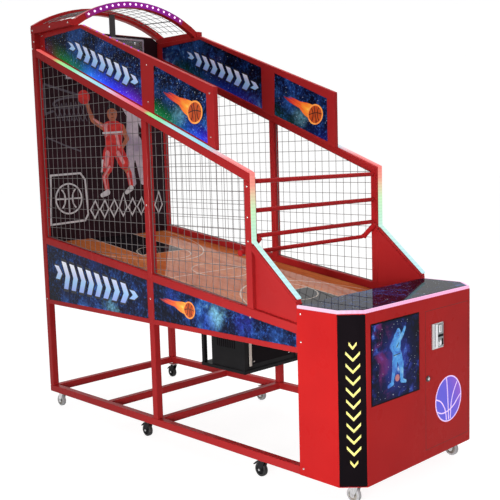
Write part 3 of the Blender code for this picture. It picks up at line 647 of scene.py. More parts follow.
LED_ARM = led_mat("light_strip_arm", "z",
                  [(0.90, lin(196, 240, 246)), (1.02, lin(198, 242, 244)), (1.15, lin(202, 244, 232))], 0.95)
LED_EDGE = led_mat("light_strip_edge", "x",
                   [(-0.50, lin(252, 214, 240)), (-0.42, lin(252, 196, 232)), (0.0, lin(255, 178, 224)),
                    (0.42, lin(255, 186, 228)), (0.50, lin(250, 200, 236))], 0.95)
LED_DOT = paint("pink_light_dot", lin(255, 214, 250), lin(252, 196, 246), glow=1.3)
LED_DOT_P = paint("violet_light_dot", lin(170, 80, 220), lin(150, 66, 205), glow=0.6)


def band_mat():
    g = Mat("purple_lit_channel", rough=0.4)
    x, y, z = g.xyz()
    n = g.noise(18.0, 4.0, 0.6)
    t = g.op("ABSOLUTE", x)
    col = g.ramp(g.op("ADD", g.op("MULTIPLY", t, 2.4), g.op("MULTIPLY_ADD", n, 0.24, -0.12), clamp=True),
                 [(0.0, lin(126, 22, 132)), (0.6, lin(118, 20, 124)), (0.85, lin(128, 22, 96)), (1.0, lin(140, 28, 60))])
    g.color(col)
    g.glow(col, 0.55)
    return g.m


BAND = band_mat()


def glass_digit():
    g = Mat("lit_segment_red", rough=0.3)
    n = g.noise(90.0, 3.0, 0.5)
    col = g.mix(g.step(n, 0.3, 0.7), lin(255, 40, 26), lin(255, 70, 44))
    g.color(col)
    g.glow(col, 2.2)
    return g.m


DIGIT = glass_digit()

# ------------------------------------------------------------------ mesh tools


class Kit:
    """Collects closed shells for one piece. y values count from the cabinet's front face."""

    def __init__(self):
        self.v, self.f = [], []

    def add(self, vs, fs):
        o = len(self.v)
        self.v += [tuple(p) for p in vs]
        self.f += [tuple(i + o for i in f) for f in fs]
        return self

    def box(self, x, y, z):
        vs = [(a, b, c) for c in z for b in y for a in x]
        return self.add(vs, [(0, 2, 3, 1), (4, 5, 7, 6), (0, 1, 5, 4), (2, 6, 7, 3), (0, 4, 6, 2), (1, 3, 7, 5)])

    def rod(self, p, q, r, n=6):
        p, q = Vector(p), Vector(q)
        d = (q - p).normalized()
        a = d.orthogonal().normalized()
        b = d.cross(a)
        ring = [a * math.cos(2 * math.pi * i / n) * r + b * math.sin(2 * math.pi * i / n) * r for i in range(n)]
        vs = [p + k for k in ring] + [q + k for k in ring]
        fs = [(i, (i + 1) % n, n + (i + 1) % n, n + i) for i in range(n)]
        fs += [tuple(reversed(range(n))), tuple(range(n, 2 * n))]
        return self.add(vs, fs)

    def path(self, pts, r, n=8, closed=False, squash=1.0):
        pts = [Vector(p) for p in pts]
        m = len(pts)
        up = None
        vs = []
        for i, p in enumerate(pts):
            a = pts[(i - 1) % m] if (closed or i) else pts[i]
            b = pts[(i + 1) % m] if (closed or i < m - 1) else pts[i]
            d = (b - a).normalized()
            if up is None:
                up = d.orthogonal().normalized()
            else:
                up = (up - d * up.dot(d)).normalized()
            s = d.cross(up)
            vs += [p + up * math.cos(2 * math.pi * k / n) * r + s * math.sin(2 * math.pi * k / n) * r * squash
                   for k in range(n)]
        fs = []
        for i in range(m if closed else m - 1):
            j = (i + 1) % m
            fs += [(i * n + k, i * n + (k + 1) % n, j * n + (k + 1) % n, j * n + k) for k in range(n)]
        if not closed:
            fs += [tuple(reversed(range(n))), tuple(range((m - 1) * n, m * n))]
        return self.add(vs, fs)

    def lathe(self, profile, centre, axis, n=24):
        """Closed profile of (radius, height along the axis)."""
        ax = Vector(axis).normalized()
        a = ax.orthogonal().normalized()
        b = ax.cross(a)
        c = Vector(centre)
        vs, idx = [], []
        for r, h in profile:
            if r < 1e-7:
                idx.append([len(vs)] * n)
                vs.append(c + ax * h)
            else:
                idx.append(list(range(len(vs), len(vs) + n)))
                vs += [c + ax * h + (a * math.cos(2 * math.pi * i / n) + b * math.sin(2 * math.pi * i / n)) * r
                       for i in range(n)]
        fs = []
        for r0, r1 in zip(idx, idx[1:]):
            for i in range(n):
                j = (i + 1) % n
                q = []
                for t in (r0[i], r0[j], r1[j], r1[i]):
                    if t not in q:
                        q.append(t)
                if len(q) > 2:
                    fs.append(tuple(q))
        return self.add(vs, fs)

    def torus(self, centre, axis, big, small, n=32, k=8):
        prof = [(big + small * math.cos(2 * math.pi * i / k), small * math.sin(2 * math.pi * i / k))
                for i in range(k)] + [(big + small, 0.0)]
        ax = Vector(axis).normalized()
        a = ax.orthogonal().normalized()
        b = ax.cross(a)
        c = Vector(centre)
        vs = []
        for r, h in prof[:-1]:
            vs += [c + ax * h + (a * math.cos(2 * math.pi * i / n) + b * math.sin(2 * math.pi * i / n)) * r
                   for i in range(n)]
        fs = []
        for p in range(k):
            q = (p + 1) % k
            fs += [(p * n + i, p * n + (i + 1) % n, q * n + (i + 1) % n, q * n + i) for i in range(n)]
        return self.add(vs, fs)

    def prism(self, pts, to3, lo, hi):
        """Flat outline pts given a thickness; to3(u, v, w) places a point."""
        n = len(pts)
        vs = [to3(u, v, lo) for u, v in pts] + [to3(u, v, hi) for u, v in pts]
        fs = [tuple(reversed(range(n))), tuple(range(n, 2 * n))]
        fs += [(i, (i + 1) % n, n + (i + 1) % n, n + i) for i in range(n)]
        return self.add(vs, fs)

    def ribbon(self, pts, width, to3, lo, hi, closed=False):
        """A painted line of constant width with a small thickness."""
        p = [np.array(q, float) for q in pts]
        m = len(p)
        left, right = [], []
        for i in range(m):
            a = p[(i - 1) % m] if (closed or i) else p[i]
            b = p[(i + 1) % m] if (closed or i < m - 1) else p[i]
            t0 = p[i] - a
            t1 = b - p[i]
            t0 = t0 / np.linalg.norm(t0) if np.linalg.norm(t0) > 1e-9 else t1 / np.linalg.norm(t1)
            t1 = t1 / np.linalg.norm(t1) if np.linalg.norm(t1) > 1e-9 else t0
            t = t0 + t1
            t = t / max(np.linalg.norm(t), 1e-9)
            nrm = np.array((-t[1], t[0]))
            k = 1.0 / max(0.45, abs(float(nrm @ np.array((-t0[1], t0[0])))))
            left.append(p[i] + nrm * width / 2 * k)
            right.append(p[i] - nrm * width / 2 * k)
        vs = []
        for i in range(m):
            for (u, v), w in ((left[i], lo), (right[i], lo), (right[i], hi), (left[i], hi)):
                vs.append(to3(float(u), float(v), w))
        fs = []
        for i in range(m if closed else m - 1):
            j = (i + 1) % m
            fs += [(4 * i + k, 4 * i + (k + 1) % 4, 4 * j + (k + 1) % 4, 4 * j + k) for k in range(4)]
        if not closed:
            fs += [(3, 2, 1, 0), (4 * m - 4, 4 * m - 3, 4 * m - 2, 4 * m - 1)]
        return self.add(vs, fs)

    def out(self, name, mat, body="root", slot=None, smooth=None, bevel=0.0, seg=2, merge=0.0, replaces=()):
        me = bpy.data.meshes.new(name)
        me.from_pydata([(p[0], p[1] - YO, p[2]) for p in self.v], [], self.f)
        bm = bmesh.new()
        bm.from_mesh(me)
        if merge:
            bmesh.ops.remove_doubles(bm, verts=bm.verts, dist=merge)
        bmesh.ops.recalc_face_normals(bm, faces=bm.faces)
        bm.to_mesh(me)
        bm.free()
        me.materials.append(mat)
        ob = bpy.data.objects.new(name, me)
        scene.collection.objects.link(ob)
        if smooth:
            me.shade_smooth()
            me.set_sharp_from_angle(angle=math.radians(smooth))
        if bevel:
            add_bevel(ob, bevel, seg)
        return mount(ob, body, replaces)


def add_bevel(ob, width, seg=2):
    m = ob.modifiers.new("edge", "BEVEL")
    m.width = width
    m.segments = seg
    m.limit_method = "ANGLE"
    m.angle_limit = math.radians(35)
    m.use_clamp_overlap = True
    m.harden_normals = False
    return ob


def mount(ob, body="root", replaces=()):
    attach(ob, body)
    if replaces:
        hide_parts(*replaces)
    return ob


def holed(name, loops, lo, hi, plane, mat, body="root", bevel=0.0, replaces=()):
    """Plate with holes. plane 'x': points are (y, z); 'y': (x, z); 'z': (x, y)."""
    cu = bpy.data.curves.new(name + "_c", "CURVE")
    cu.dimensions = "2D"
    cu.fill_mode = "BOTH"
    cu.extrude = abs(hi - lo) / 2
    for pts in loops:
        sp = cu.splines.new("POLY")
        sp.points.add(len(pts) - 1)
        for p, c in zip(sp.points, pts):
            p.co = (c[0], c[1], 0.0, 1.0)
        sp.use_cyclic_u = True
    tmp = bpy.data.objects.new(name + "_c", cu)
    scene.collection.objects.link(tmp)
    bpy.context.view_layer.update()
    me = bpy.data.meshes.new_from_object(tmp.evaluated_get(bpy.context.evaluated_depsgraph_get()))
    bpy.data.objects.remove(tmp, do_unlink=True)
    bpy.data.curves.remove(cu)
    mid = (lo + hi) / 2
    bm = bmesh.new()
    bm.from_mesh(me)
    bmesh.ops.remove_doubles(bm, verts=bm.verts, dist=1e-6)
    for v in bm.verts:
        u, w, d = v.co
        if plane == "x":
            v.co = (mid + d, u - YO, w)
        elif plane == "y":
            v.co = (u, mid + d - YO, w)
        else:
            v.co = (u, w - YO, mid + d)
    bmesh.ops.recalc_face_normals(bm, faces=bm.faces)
    bm.to_mesh(me)
    bm.free()
    me.name = name
    me.materials.clear()
    me.materials.append(mat)
    ob = bpy.data.objects.new(name, me)
    scene.collection.objects.link(ob)
    if bevel:
        add_bevel(ob, bevel)
    return mount(ob, body, replaces)


def on_x(u, v, w):
    return (w, u, v)


def on_y(u, v, w):
    return (u, w, v)


def circle(c, r, n=32, a0=0.0, a1=2 * math.pi, closed=True):
    k = n if closed else n + 1
    return [(c[0] + r * math.cos(a0 + (a1 - a0) * i / n), c[1] + r * math.sin(a0 + (a1 - a0) * i / n))
            for i in range(k)]


def oval(c, rx, ry, n=24, turn=0.0):
    ct, st = math.cos(turn), math.sin(turn)
    return [(c[0] + rx * math.cos(t) * ct - ry * math.sin(t) * st, c[1] + rx * math.cos(t) * st + ry * math.sin(t) * ct)
            for t in [2 * math.pi * i / n for i in range(n)]]


def limb(a, b, ra, rb, n=8):
    """Tapered capsule outline from a to b."""
    a, b = np.array(a, float), np.array(b, float)
    d = b - a
    t = math.atan2(d[1], d[0])
    pts = []
    for i in range(n + 1):
        th = t + math.pi / 2 + math.pi * i / n
        pts.append((a[0] + ra * math.cos(th), a[1] + ra * math.sin(th)))
    for i in range(n + 1):
        th = t - math.pi / 2 + math.pi * i / n
        pts.append((b[0] + rb * math.cos(th), b[1] + rb * math.sin(th)))
    return pts


def pick(mat, *names):
    for n in names:
        o = NODES[n]
        o.data.materials.clear()
        o.data.materials.append(mat)
        for p in o.data.polygons:
            p.material_index = 0


# ------------------------------------------------------------------ frame nodes
pick(RED, "base_frame", "canopy_frame", *[n + t for n in ("rear_post_", "mid_post_", "front_post_", "slope_rail_", "cheek_")
                                         for t in ("left", "right")])
pick(RED_IN, "guard_rail", "lower_guard_bar")
pick(RED_F, "cabinet_shell", "coin_door")
pick(COURT, "deck", "trough_board")
pick(BLACK_WALL, "back_panel")
pick(GALAXY_TOP, "cabinet_top")
pick(CLEAR, "backboard")
DARKROD = metal("dark_brace_steel", (0.075, 0.068, 0.072), 0.38, (30, 30, 30), 0.16, 0.6)
pick(DARKROD, "backboard_hanger")
pick(STEEL, "door_lock")
pick(CHROME, "reject_button")
pick(STEEL, "coin_mech")
pick(PLASTIC, "gate_plate", "gate_actuator", "cash_box", "control_box", "score_display")
pick(RIM, "hoop_rim")


# ------------------------------------------------------------------ wire guards
def guard(name, y0, y1, side, node):
    k = Kit()
    lo = lambda y: zb(y) + 0.0425
    hi = lambda y: rail_bot(y) - 0.0012
    r = 0.0015
    xi, xo = side * 0.4786, side * 0.4812
    nv = max(2, round((y1 - y0) / 0.050))
    pitch = (y1 - y0) / nv
    for i in range(1, nv):
        y = y0 + i * pitch
        k.rod((xi, y, lo(y)), (xi, y, hi(y)), r, 6)
    z = math.ceil(lo(y0) / 0.060) * 0.060
    while z < hi(y1) - 0.004:
        a = max(y0 + 0.001, y0 + (z + 0.0 - hi(y0)) / 0.412) if z > hi(y0) else y0 + 0.001
        b = min(y1 - 0.001, y0 + (z - lo(y0)) / 0.137) if z < lo(y1) else y1 - 0.001
        if b - a > 0.015:
            k.rod((xo, a, z), (xo, b, z), r, 6)
        z += 0.060
    e = 0.0032
    rim = [(y0 + e, lo(y0) + e), (y1 - e, lo(y1) + e), (y1 - e, hi(y1) - e), (y0 + e, hi(y0) - e)]
    for p, q in zip(rim, rim[1:] + rim[:1]):
        k.rod((side * 0.4799, p[0], p[1]), (side * 0.4799, q[0], q[1]), 0.0024, 6)
    return k.out(name, WIRE, slot="wire", smooth=40, replaces=(node,))


for tag, s in SIDES:
    guard("wire_guard_rear_" + tag, 1.4003, 2.4147, s, "side_mesh_rear_" + tag)
    guard("wire_guard_front_" + tag, 0.6373, 1.3597, s, "side_mesh_front_" + tag)

# canopy: wires over the vault between the two arches
FR = (0.480 ** 2 + 0.155 ** 2) / (2 * 0.155)
FZ = 2.490 - FR
RR = (0.499 ** 2 + 0.141 ** 2) / (2 * 0.141)
RZ = 2.500 - RR


def vault(x, y):
    t = (y - 2.0683) / (2.4182 - 2.0683)
    a = FZ + math.sqrt((FR - 0.018) ** 2 - x * x)
    b = RZ + math.sqrt((RR - 0.019) ** 2 - x * x)
    return a + (b - a) * t


k = Kit()
for i in range(-8, 9):
    x = i * 0.052
    k.rod((x, 2.0686, vault(x, 2.0686) + 0.0013), (x, 2.4179, vault(x, 2.4179) + 0.0013), 0.0014, 6)
for j in range(7):
    y = 2.0760 + j * 0.0560
    k.path([(x, y, vault(x, y) - 0.0013) for x in np.linspace(-0.436, 0.436, 19)], 0.0014, 6)
k.out("wire_canopy", WIRE, slot="wire", smooth=50, replaces=("canopy_mesh",))

# ------------------------------------------------------------------ header wings
HEAD = [(0.865, rail_top(0.865) + 0.0003), (2.4147, rail_top(2.4147) + 0.0003), (2.4147, 2.310), (1.970, 2.310),
        (0.865, 1.880)]
WIN_R = [(2.364, 2.280), (1.974, 2.291), (1.428, 2.065), (1.428, rail_top(1.428) + 0.014), (2.364, rail_top(2.364) + 0.014)]
WIN_F = [(1.321, 2.024), (0.918, 1.849), (0.918, rail_top(0.918) + 0.014), (1.330, rail_top(1.330) + 0.014)]


def shrink(pts, d):
    """Moves every corner of a convex outline inwards by d."""
    c = np.mean(np.array(pts), 0)
    n = len(pts)
    sgn = 1.0 if sum(pts[i][0] * pts[(i + 1) % n][1] - pts[(i + 1) % n][0] * pts[i][1] for i in range(n)) > 0 else -1.0
    lines = []
    for i in range(n):
        p, q = np.array(pts[i], float), np.array(pts[(i + 1) % n], float)
        t = (q - p) / np.linalg.norm(q - p)
        nn = np.array((-t[1], t[0])) * sgn
        lines.append((p + nn * d, t))
    out = []
    for i in range(n):
        (p, t), (q, u) = lines[i - 1], lines[i]
        m = np.array([[t[0], -u[0]], [t[1], -u[1]]])
        a = np.linalg.solve(m, q - p)
        out.append(tuple(p + t * a[0]))
    return out


CH_HEAD = chevron_mat("chevron_ink_header", 1.965 - 0.418 * (1.60 - YO) - 0.0, 0.418, -0.01, 0.10)
CH_APRON = chevron_mat("chevron_ink_apron", 0.757, 0.035, -0.02, 0.14)
BALL_H, TAIL_H, BR_H = (1.008, 1.766), (1.250, 1.888), 0.057
BALL_A, TAIL_A, BR_A = (1.063, 0.772), (1.305, 0.812), 0.044
FLAME_H = flame_mat("flame_ink_header", BALL_H, TAIL_H)
FLAME_A = flame_mat("flame_ink_apron", BALL_A, TAIL_A)


def chevrons(name, quad, x, out, mat, n=9):
    """A row of chevrons inside the quad (top rear, top front, bottom rear, bottom front)."""
    tr, tf, br, bf = [np.array(q, float) for q in quad]

    def at(s, t):
        top = tr + (tf - tr) * s
        bot = br + (bf - br) * s
        p = bot + (top - bot) * t
        return (p[0], p[1])

    back, face = Kit(), Kit()
    unit = [(0.00, 0.0), (0.60, 0.0), (1.02, 0.5), (0.60, 1.0), (0.00, 1.0), (0.40, 0.5)]
    for i in range(n):
        small = i in (0, n - 1)
        lo, hi = (0.30, 0.78) if small else (0.0, 1.0)
        pts = [at((i + 0.02 + 0.92 * u) / n, lo + (hi - lo) * v) for u, v in unit]
        c = np.mean(np.array(pts), 0)
        big = [tuple(c + (np.array(p) - c) * 1.20) for p in pts]
        back.prism(big, on_x, x + out * 0.0001, x + out * 0.0005)
        face.prism(pts, on_x, x + out * 0.0002, x + out * 0.0009)
    back.out(name + "_outline", INK_BLACK, slot="printed_panel")
    face.out(name, mat, slot="printed_panel")


def fireball(name, ball, tail, r, x, out, flame):
    b, t = np.array(ball), np.array(tail)
    d = t - b
    ln = np.linalg.norm(d)
    u = d / ln
    n = np.array((-u[1], u[0]))
    k = Kit()
    # three overlapping tongues, each a tapering wavy blade
    for off, reach, width, wave in ((0.0, 1.0, 0.66, 0.0), (0.50, 0.66, 0.26, 1.3), (-0.52, 0.56, 0.26, 2.2), (0.24, 0.86, 0.30, 3.4)):
        up, dn = [], []
        m = 12
        for i in range(m + 1):
            s = i / m
            w = r * width * (1 - s) ** 0.85 * (1 + 0.10 * math.sin(9 * s + wave))
            mid = b + n * (off * r * (1 - 0.55 * s)) + u * (ln * reach * s) + n * (r * 0.10 * math.sin(5.5 * s + wave))
            up.append(tuple(mid + n * w))
            dn.append(tuple(mid - n * w))
        pts = up[:-1] + [tuple((np.array(up[-1]) + np.array(dn[-1])) / 2)] + dn[:-1][::-1]
        lift = 0.0001 * (1 + abs(off) * 2)
        k.prism(pts, on_x, x + out * lift, x + out * (lift + 0.0006))
    k.out(name + "_flame", flame, slot="printed_panel")
    k = Kit().prism(circle(ball, r * 0.93, 36), on_x, x + out * 0.0003, x + out * 0.0012)
    k.out(name + "_ball", INK_ORANGE, slot="printed_panel")
    k = Kit().ribbon(circle(ball, r * 0.94, 36), r * 0.15, on_x, x + out * 0.0009, x + out * 0.0016, closed=True)
    k.out(name + "_edge", INK_RIM, slot="printed_panel")
    k = Kit()
    c = np.array(ball)
    for sgn in (-1, 1):
        arc = [tuple(c + np.array((sgn * (0.95 - 0.62 * math.cos(t)) * r * 0.86, math.sin(t) * r * 0.80)))
               for t in np.linspace(-0.9, 0.9, 11)]
        k.ribbon(arc, r * 0.10, on_x, x + out * 0.0010, x + out * 0.0015)
    k.ribbon([tuple(c + np.array((0.10 * r * math.sin(2.2 * t), t * r * 0.84))) for t in np.linspace(-1, 1, 9)],
             r * 0.10, on_x, x + out * 0.0010, x + out * 0.00145)
    k.ribbon([tuple(c + np.array((t * r * 0.84, 0.16 * r * math.cos(1.6 * t)))) for t in np.linspace(-1, 1, 9)],
             r * 0.09, on_x, x + out * 0.0010, x + out * 0.00155)
    k.out(name + "_seams", INK_SEAM, slot="printed_panel")


HEAD_QUAD = ((2.112, 2.249), (1.448, 1.988), (2.100, 2.164), (1.460, 1.898))
for tag, s in SIDES:
    lo, hi = sorted((s * 0.435, s * 0.465))
    holed("header_frame_" + tag, [HEAD, WIN_R, WIN_F], lo, hi, "x", RED, bevel=0.0022,
          replaces=("header_" + tag,))
    for nm, win in (("rear", WIN_R), ("front", WIN_F)):
        pts = shrink(win, 0.0004)
        lo, hi = sorted((s * 0.4392, s * 0.4608))
        k = Kit().prism(pts, on_x, lo, hi)
        k.out("header_print_%s_%s" % (nm, tag), GALAXY_HEAD, slot="printed_panel")
    for face, x, out in (("outer", s * 0.4608, s), ("inner", s * 0.4392, -s)):
        chevrons("header_chevrons_%s_%s" % (face, tag), HEAD_QUAD, x, out, CH_HEAD)
        fireball("header_fireball_%s_%s" % (face, tag), BALL_H, TAIL_H, BR_H, x, out, FLAME_H)

# ------------------------------------------------------------------ aprons
AP_QUAD = ((2.335, 0.951), (1.482, 0.844), (2.320, 0.776), (1.494, 0.745))
for tag, s in SIDES:
    for nm, a, b in (("rear", 1.4003, 2.4147), ("front", 0.3203, 1.3597)):
        outer = [(a, 0.662), (b, 0.662), (b, zb(b) + 0.041), (a, zb(a) + 0.041)]
        e = 0.005
        win = [(a + e, 0.688), (b - e, 0.688), (b - e, zb(b - e)), (a + e, zb(a + e))]
        lo, hi = sorted((s * 0.462, s * 0.500))
        holed("apron_frame_%s_%s" % (nm, tag), [outer, win], lo, hi, "x", RED, bevel=0.002,
              replaces=("apron_%s_%s" % (nm, tag),))
        lo, hi = sorted((s * 0.4640, s * 0.4972))
        Kit().prism(shrink(win, 0.0004), on_x, lo, hi).out("apron_print_%s_%s" % (nm, tag), GALAXY_APRON,
                                                         slot="printed_panel")
    chevrons("apron_chevrons_" + tag, AP_QUAD, s * 0.4972, s, CH_APRON, 10)
    fireball("apron_fireball_" + tag, BALL_A, TAIL_A, BR_A, s * 0.4972, s, FLAME_A)

# ------------------------------------------------------------------ light strips
for tag, s in SIDES:
    lo, hi = sorted((s * 0.4695, s * 0.4990))
    a, b = 0.5975, 2.405
    off = lambda y, h: rail_top(y) + h
    k = Kit().prism([(a, off(a, 0.0003)), (b, off(b, 0.0003)), (b, off(b, 0.0095)), (a, off(a, 0.0095))], on_x, lo, hi)
    first = k.out("light_strip_slope_" + tag, LED_SLOPE, slot="led_diffuser", bevel=0.0035, seg=3)
    k = Kit().prism([(0.5885, 1.1370), (0.5967, 1.1440), (0.5967, off(0.5967, 0.0095)), (0.5885, off(0.5885, 0.0095))],
                    on_x, lo, hi)
    k.out("light_strip_post_" + tag, LED_POST, slot="led_diffuser", bevel=0.0030, seg=3)
    # arm-rest slope: red carrier with the diffuser on it
    y0, y1 = 0.3206, 0.5880
    k = Kit().prism([(y0, zc(y0) + 0.0004), (y1, zc(y1) + 0.0004), (y1, zc(y1) + 0.0120), (y0, zc(y0) + 0.0120)],
                    on_x, *sorted((s * 0.4660, s * 0.4995)))
    k.out("arm_carrier_" + tag, RED, slot="red_powder_coat", bevel=0.0015)
    k = Kit().prism([(0.3160, 0.9040), (0.5885, 1.1415), (0.5885, 1.1500), (0.3160, 0.9130)], on_x, lo, hi)
    k.out("light_strip_arm_" + tag, LED_ARM, slot="led_diffuser", bevel=0.0030, seg=3)
edge_o = [(-0.4994, 0.3197), (-0.4994, 0.0902), (-0.4128, 0.0006), (0.4128, 0.0006), (0.4994, 0.0902), (0.4994, 0.3197)]
edge_i = [(0.4846, 0.3197), (0.4846, 0.0977), (0.4093, 0.0140), (-0.4093, 0.0140), (-0.4846, 0.0977), (-0.4846, 0.3197)]
holed("light_strip_edge", [edge_o + edge_i], 0.8655, 0.8797, "z", LED_EDGE, bevel=0.003)
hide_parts("led_strip")

# canopy arch: lit channel with dots on its front face
X0, X1 = -0.392, 0.350
k = Kit()
N = 40
front, rear = [], []
for i in range(N + 1):
    x = X0 + (X1 - X0) * i / N
    t = math.asin(x / FR)
    for rad, lst in ((FR - 0.0015, front), (FR - 0.0350, rear)):
        lst.append((rad * math.sin(t), FZ + rad * math.cos(t)))
for i in range(N):
    pass
k.prism(front + rear[::-1], on_y, 2.0296, 2.0318)
k.out("arch_light_channel", BAND, slot="led_diffuser")
k = Kit()
M = 17
for i in range(M):
    x = X0 + 0.020 + (X1 - X0 - 0.040) * i / (M - 1)
    t = math.asin(x / FR)
    rad = FR - 0.0175
    c = (rad * math.sin(t), 2.0296, FZ + rad * math.cos(t))
    k.lathe([(0.0, -0.0036), (0.0040, -0.0031), (0.0064, -0.0014), (0.0068, 0.0003), (0.0, 0.0003)], c, (0, 1, 0), 14)
k.out("arch_light_dots", LED_DOT, slot="led_diffuser", smooth=50)
k = Kit()
for i in range(9):
    y = 1.955 - i * 0.062
    z = 1.880 + (2.310 - 1.880) * (y - 0.865) / (1.970 - 0.865)
    k.lathe([(0.0, 0.0052), (0.0034, 0.0044), (0.0050, 0.0015), (0.0052, 0.0), (0.0, 0.0)], (-0.450, y, z), (0, -0.36, 0.93), 12)
k.out("header_top_dots", LED_DOT_P, slot="led_diffuser", smooth=50)

# ------------------------------------------------------------------ rear wall art
wy, wt = 2.4150, 2.4143


def wall(u, v, w):
    return (u, w, v)


k = Kit()
c, r = (-0.330, 1.300), 0.128
k.ribbon([(-0.455, 1.150), (-0.205, 1.160), (-0.180, 1.200), (-0.192, 1.420), (-0.225, 1.462), (-0.440, 1.455)],
         0.012, wall, wt, wy, closed=True)
k.ribbon(circle((-0.318, 1.305), 0.094, 30), 0.010, wall, wt, wy, closed=True)
k.ribbon([(-0.318, 1.213), (-0.318, 1.397)], 0.009, wall, wt + 0.00004, wy)
k.ribbon([(-0.410, 1.305), (-0.226, 1.305)], 0.009, wall, wt + 0.00008, wy)
for sg in (-1, 1):
    k.ribbon([(-0.318 + sg * (0.072 - 0.046 * math.cos(t)), 1.305 + 0.066 * math.sin(t)) for t in np.linspace(-1.1, 1.1, 9)],
             0.009, wall, wt + 0.00012, wy)
for i in range(8):
    x0 = -0.160 + i * 0.0745
    h = 0.145 if i in (3, 6, 7) else 0.112
    dia = [(x0, 1.168 + 0.055), (x0 + 0.030, 1.168), (x0 + 0.064, 1.168 + 0.055), (x0 + 0.034 + 0.004, 1.168 + h)]
    k.ribbon(dia, 0.0090, wall, wt + 0.00002 * (i % 2), wy, closed=True)
k.out("wall_line_art", INK_WHITE, slot="black_board")

# grey line drawing of a hoop and its board, high on the left of the wall
k = Kit()
k.ribbon([(-0.455, 2.010), (-0.455, 1.830), (-0.395, 1.850)], 0.014, wall, wt, wy)
k.ribbon([(-0.455, 2.012), (-0.200, 1.950), (-0.130, 1.965)], 0.014, wall, wt, wy)
k.ribbon(oval((-0.270, 1.905), 0.125, 0.032, 28, 0.12), 0.013, wall, wt, wy, closed=True)
for i in range(7):
    a = -0.370 + i * 0.034
    k.ribbon([(a, 1.895 + 0.004 * i), (a + 0.016, 1.845), (a - 0.006 + 0.012 * (3 - i) * 0.3, 1.790)], 0.006, wall, wt, wy)
    k.ribbon([(a, 1.893 + 0.004 * i), (a - 0.016, 1.845), (a + 0.012, 1.790)], 0.006, wall, wt, wy)
k.ribbon([(-0.455, 1.690), (-0.330, 1.640), (-0.210, 1.600)], 0.010, wall, wt, wy)
k.out("wall_hoop_drawing", INK_GREY, slot="black_board")


def figure(prefix, at, size, parts, place, lo, step, slot):
    """Flat printed figure; parts are (layer, material, outlines) in unit coordinates."""
    for i, (nm, mat, outlines) in enumerate(parts):
        k = Kit()
        for j, pts in enumerate(outlines):
            k.prism([(at[0] + p[0] * size, at[1] + p[1] * size) for p in pts], place, lo,
                    lo + step * (i + 1 + 0.06 * j))
        k.out("%s_%s" % (prefix, nm), mat, slot=slot)


# a leaping player of no one in particular, red kit, facing the hoop; units are body heights
SKIN = [limb((0.055, 0.700), (0.020, 0.745), 0.034, 0.028), limb((-0.115, 0.690), (-0.235, 0.760), 0.032, 0.026),
        limb((-0.235, 0.760), (-0.285, 0.880), 0.026, 0.020), oval((-0.292, 0.905), 0.026, 0.032, 14, 0.4),
        limb((0.120, 0.690), (0.175, 0.570), 0.032, 0.026), limb((0.175, 0.570), (0.105, 0.480), 0.025, 0.019),
        oval((0.092, 0.468), 0.024, 0.030, 14, 0.7),
        limb((-0.060, 0.300), (-0.120, 0.190), 0.042, 0.032), limb((0.120, 0.330), (0.180, 0.215), 0.042, 0.033),
        oval((0.000, 0.830), 0.062, 0.080, 24, 0.05), limb((0.000, 0.740), (0.000, 0.780), 0.034, 0.034)]
KIT_RED = [[(-0.130, 0.720), (-0.050, 0.752), (0.060, 0.752), (0.135, 0.715), (0.112, 0.560), (0.108, 0.455),
            (-0.100, 0.455), (-0.098, 0.570)],
           limb((-0.060, 0.440), (-0.085, 0.290), 0.068, 0.070), limb((0.060, 0.440), (0.125, 0.320), 0.068, 0.066),
           limb((-0.120, 0.190), (-0.100, 0.050), 0.034, 0.027), limb((0.180, 0.215), (0.200, 0.080), 0.034, 0.027)]
SHOES = [limb((-0.098, 0.030), (-0.165, 0.005), 0.030, 0.022), limb((0.200, 0.060), (0.140, 0.020), 0.030, 0.022),
         [(-0.128, 0.640), (0.120, 0.652), (0.118, 0.632), (-0.126, 0.620)],
         [(-0.150, 0.365), (-0.130, 0.365), (-0.150, 0.235), (-0.168, 0.240)]]
HAIR = [[(-0.062, 0.840), (-0.058, 0.885), (-0.030, 0.916), (0.010, 0.922), (0.048, 0.900), (0.064, 0.850),
         (0.050, 0.862), (0.020, 0.880), (-0.020, 0.880), (-0.048, 0.866)],
        oval((-0.026, 0.838), 0.0085, 0.0055, 10), oval((0.026, 0.838), 0.0085, 0.0055, 10),
        [(-0.042, 0.853), (-0.014, 0.856), (-0.014, 0.860), (-0.042, 0.858)],
        [(0.014, 0.856), (0.042, 0.853), (0.042, 0.858), (0.014, 0.860)],
        [(-0.006, 0.812), (0.006, 0.812), (0.003, 0.836), (-0.003, 0.836)],
        [(-0.018, 0.790), (0.018, 0.790), (0.012, 0.785), (-0.012, 0.785)]]
BALLP = [oval((-0.330, 0.985), 0.070, 0.070, 24)]
SHEEN = [[(-0.112, 0.712), (-0.060, 0.735), (-0.072, 0.600), (-0.094, 0.585)], limb((-0.078, 0.430), (-0.100, 0.310), 0.026, 0.024),
         limb((0.052, 0.430), (0.112, 0.330), 0.022, 0.020), limb((-0.134, 0.185), (-0.114, 0.070), 0.012, 0.009),
         limb((0.168, 0.210), (0.188, 0.100), 0.012, 0.009), limb((0.040, 0.620), (0.070, 0.490), 0.018, 0.014),
         limb((-0.125, 0.702), (-0.228, 0.772), 0.010, 0.008), limb((-0.060, 0.292), (-0.128, 0.200), 0.012, 0.010)]
PALE = [limb((0.260, 0.830), (0.240, 0.560), 0.070, 0.085), limb((0.240, 0.540), (0.200, 0.300), 0.075, 0.048),
        limb((0.290, 0.540), (0.330, 0.300), 0.070, 0.048), limb((0.200, 0.300), (0.235, 0.110), 0.045, 0.032),
        limb((0.330, 0.300), (0.355, 0.120), 0.045, 0.032), oval((0.262, 0.950), 0.058, 0.074, 20),
        limb((0.205, 0.830), (0.120, 0.940), 0.034, 0.024), limb((0.318, 0.820), (0.385, 0.690), 0.034, 0.026)]
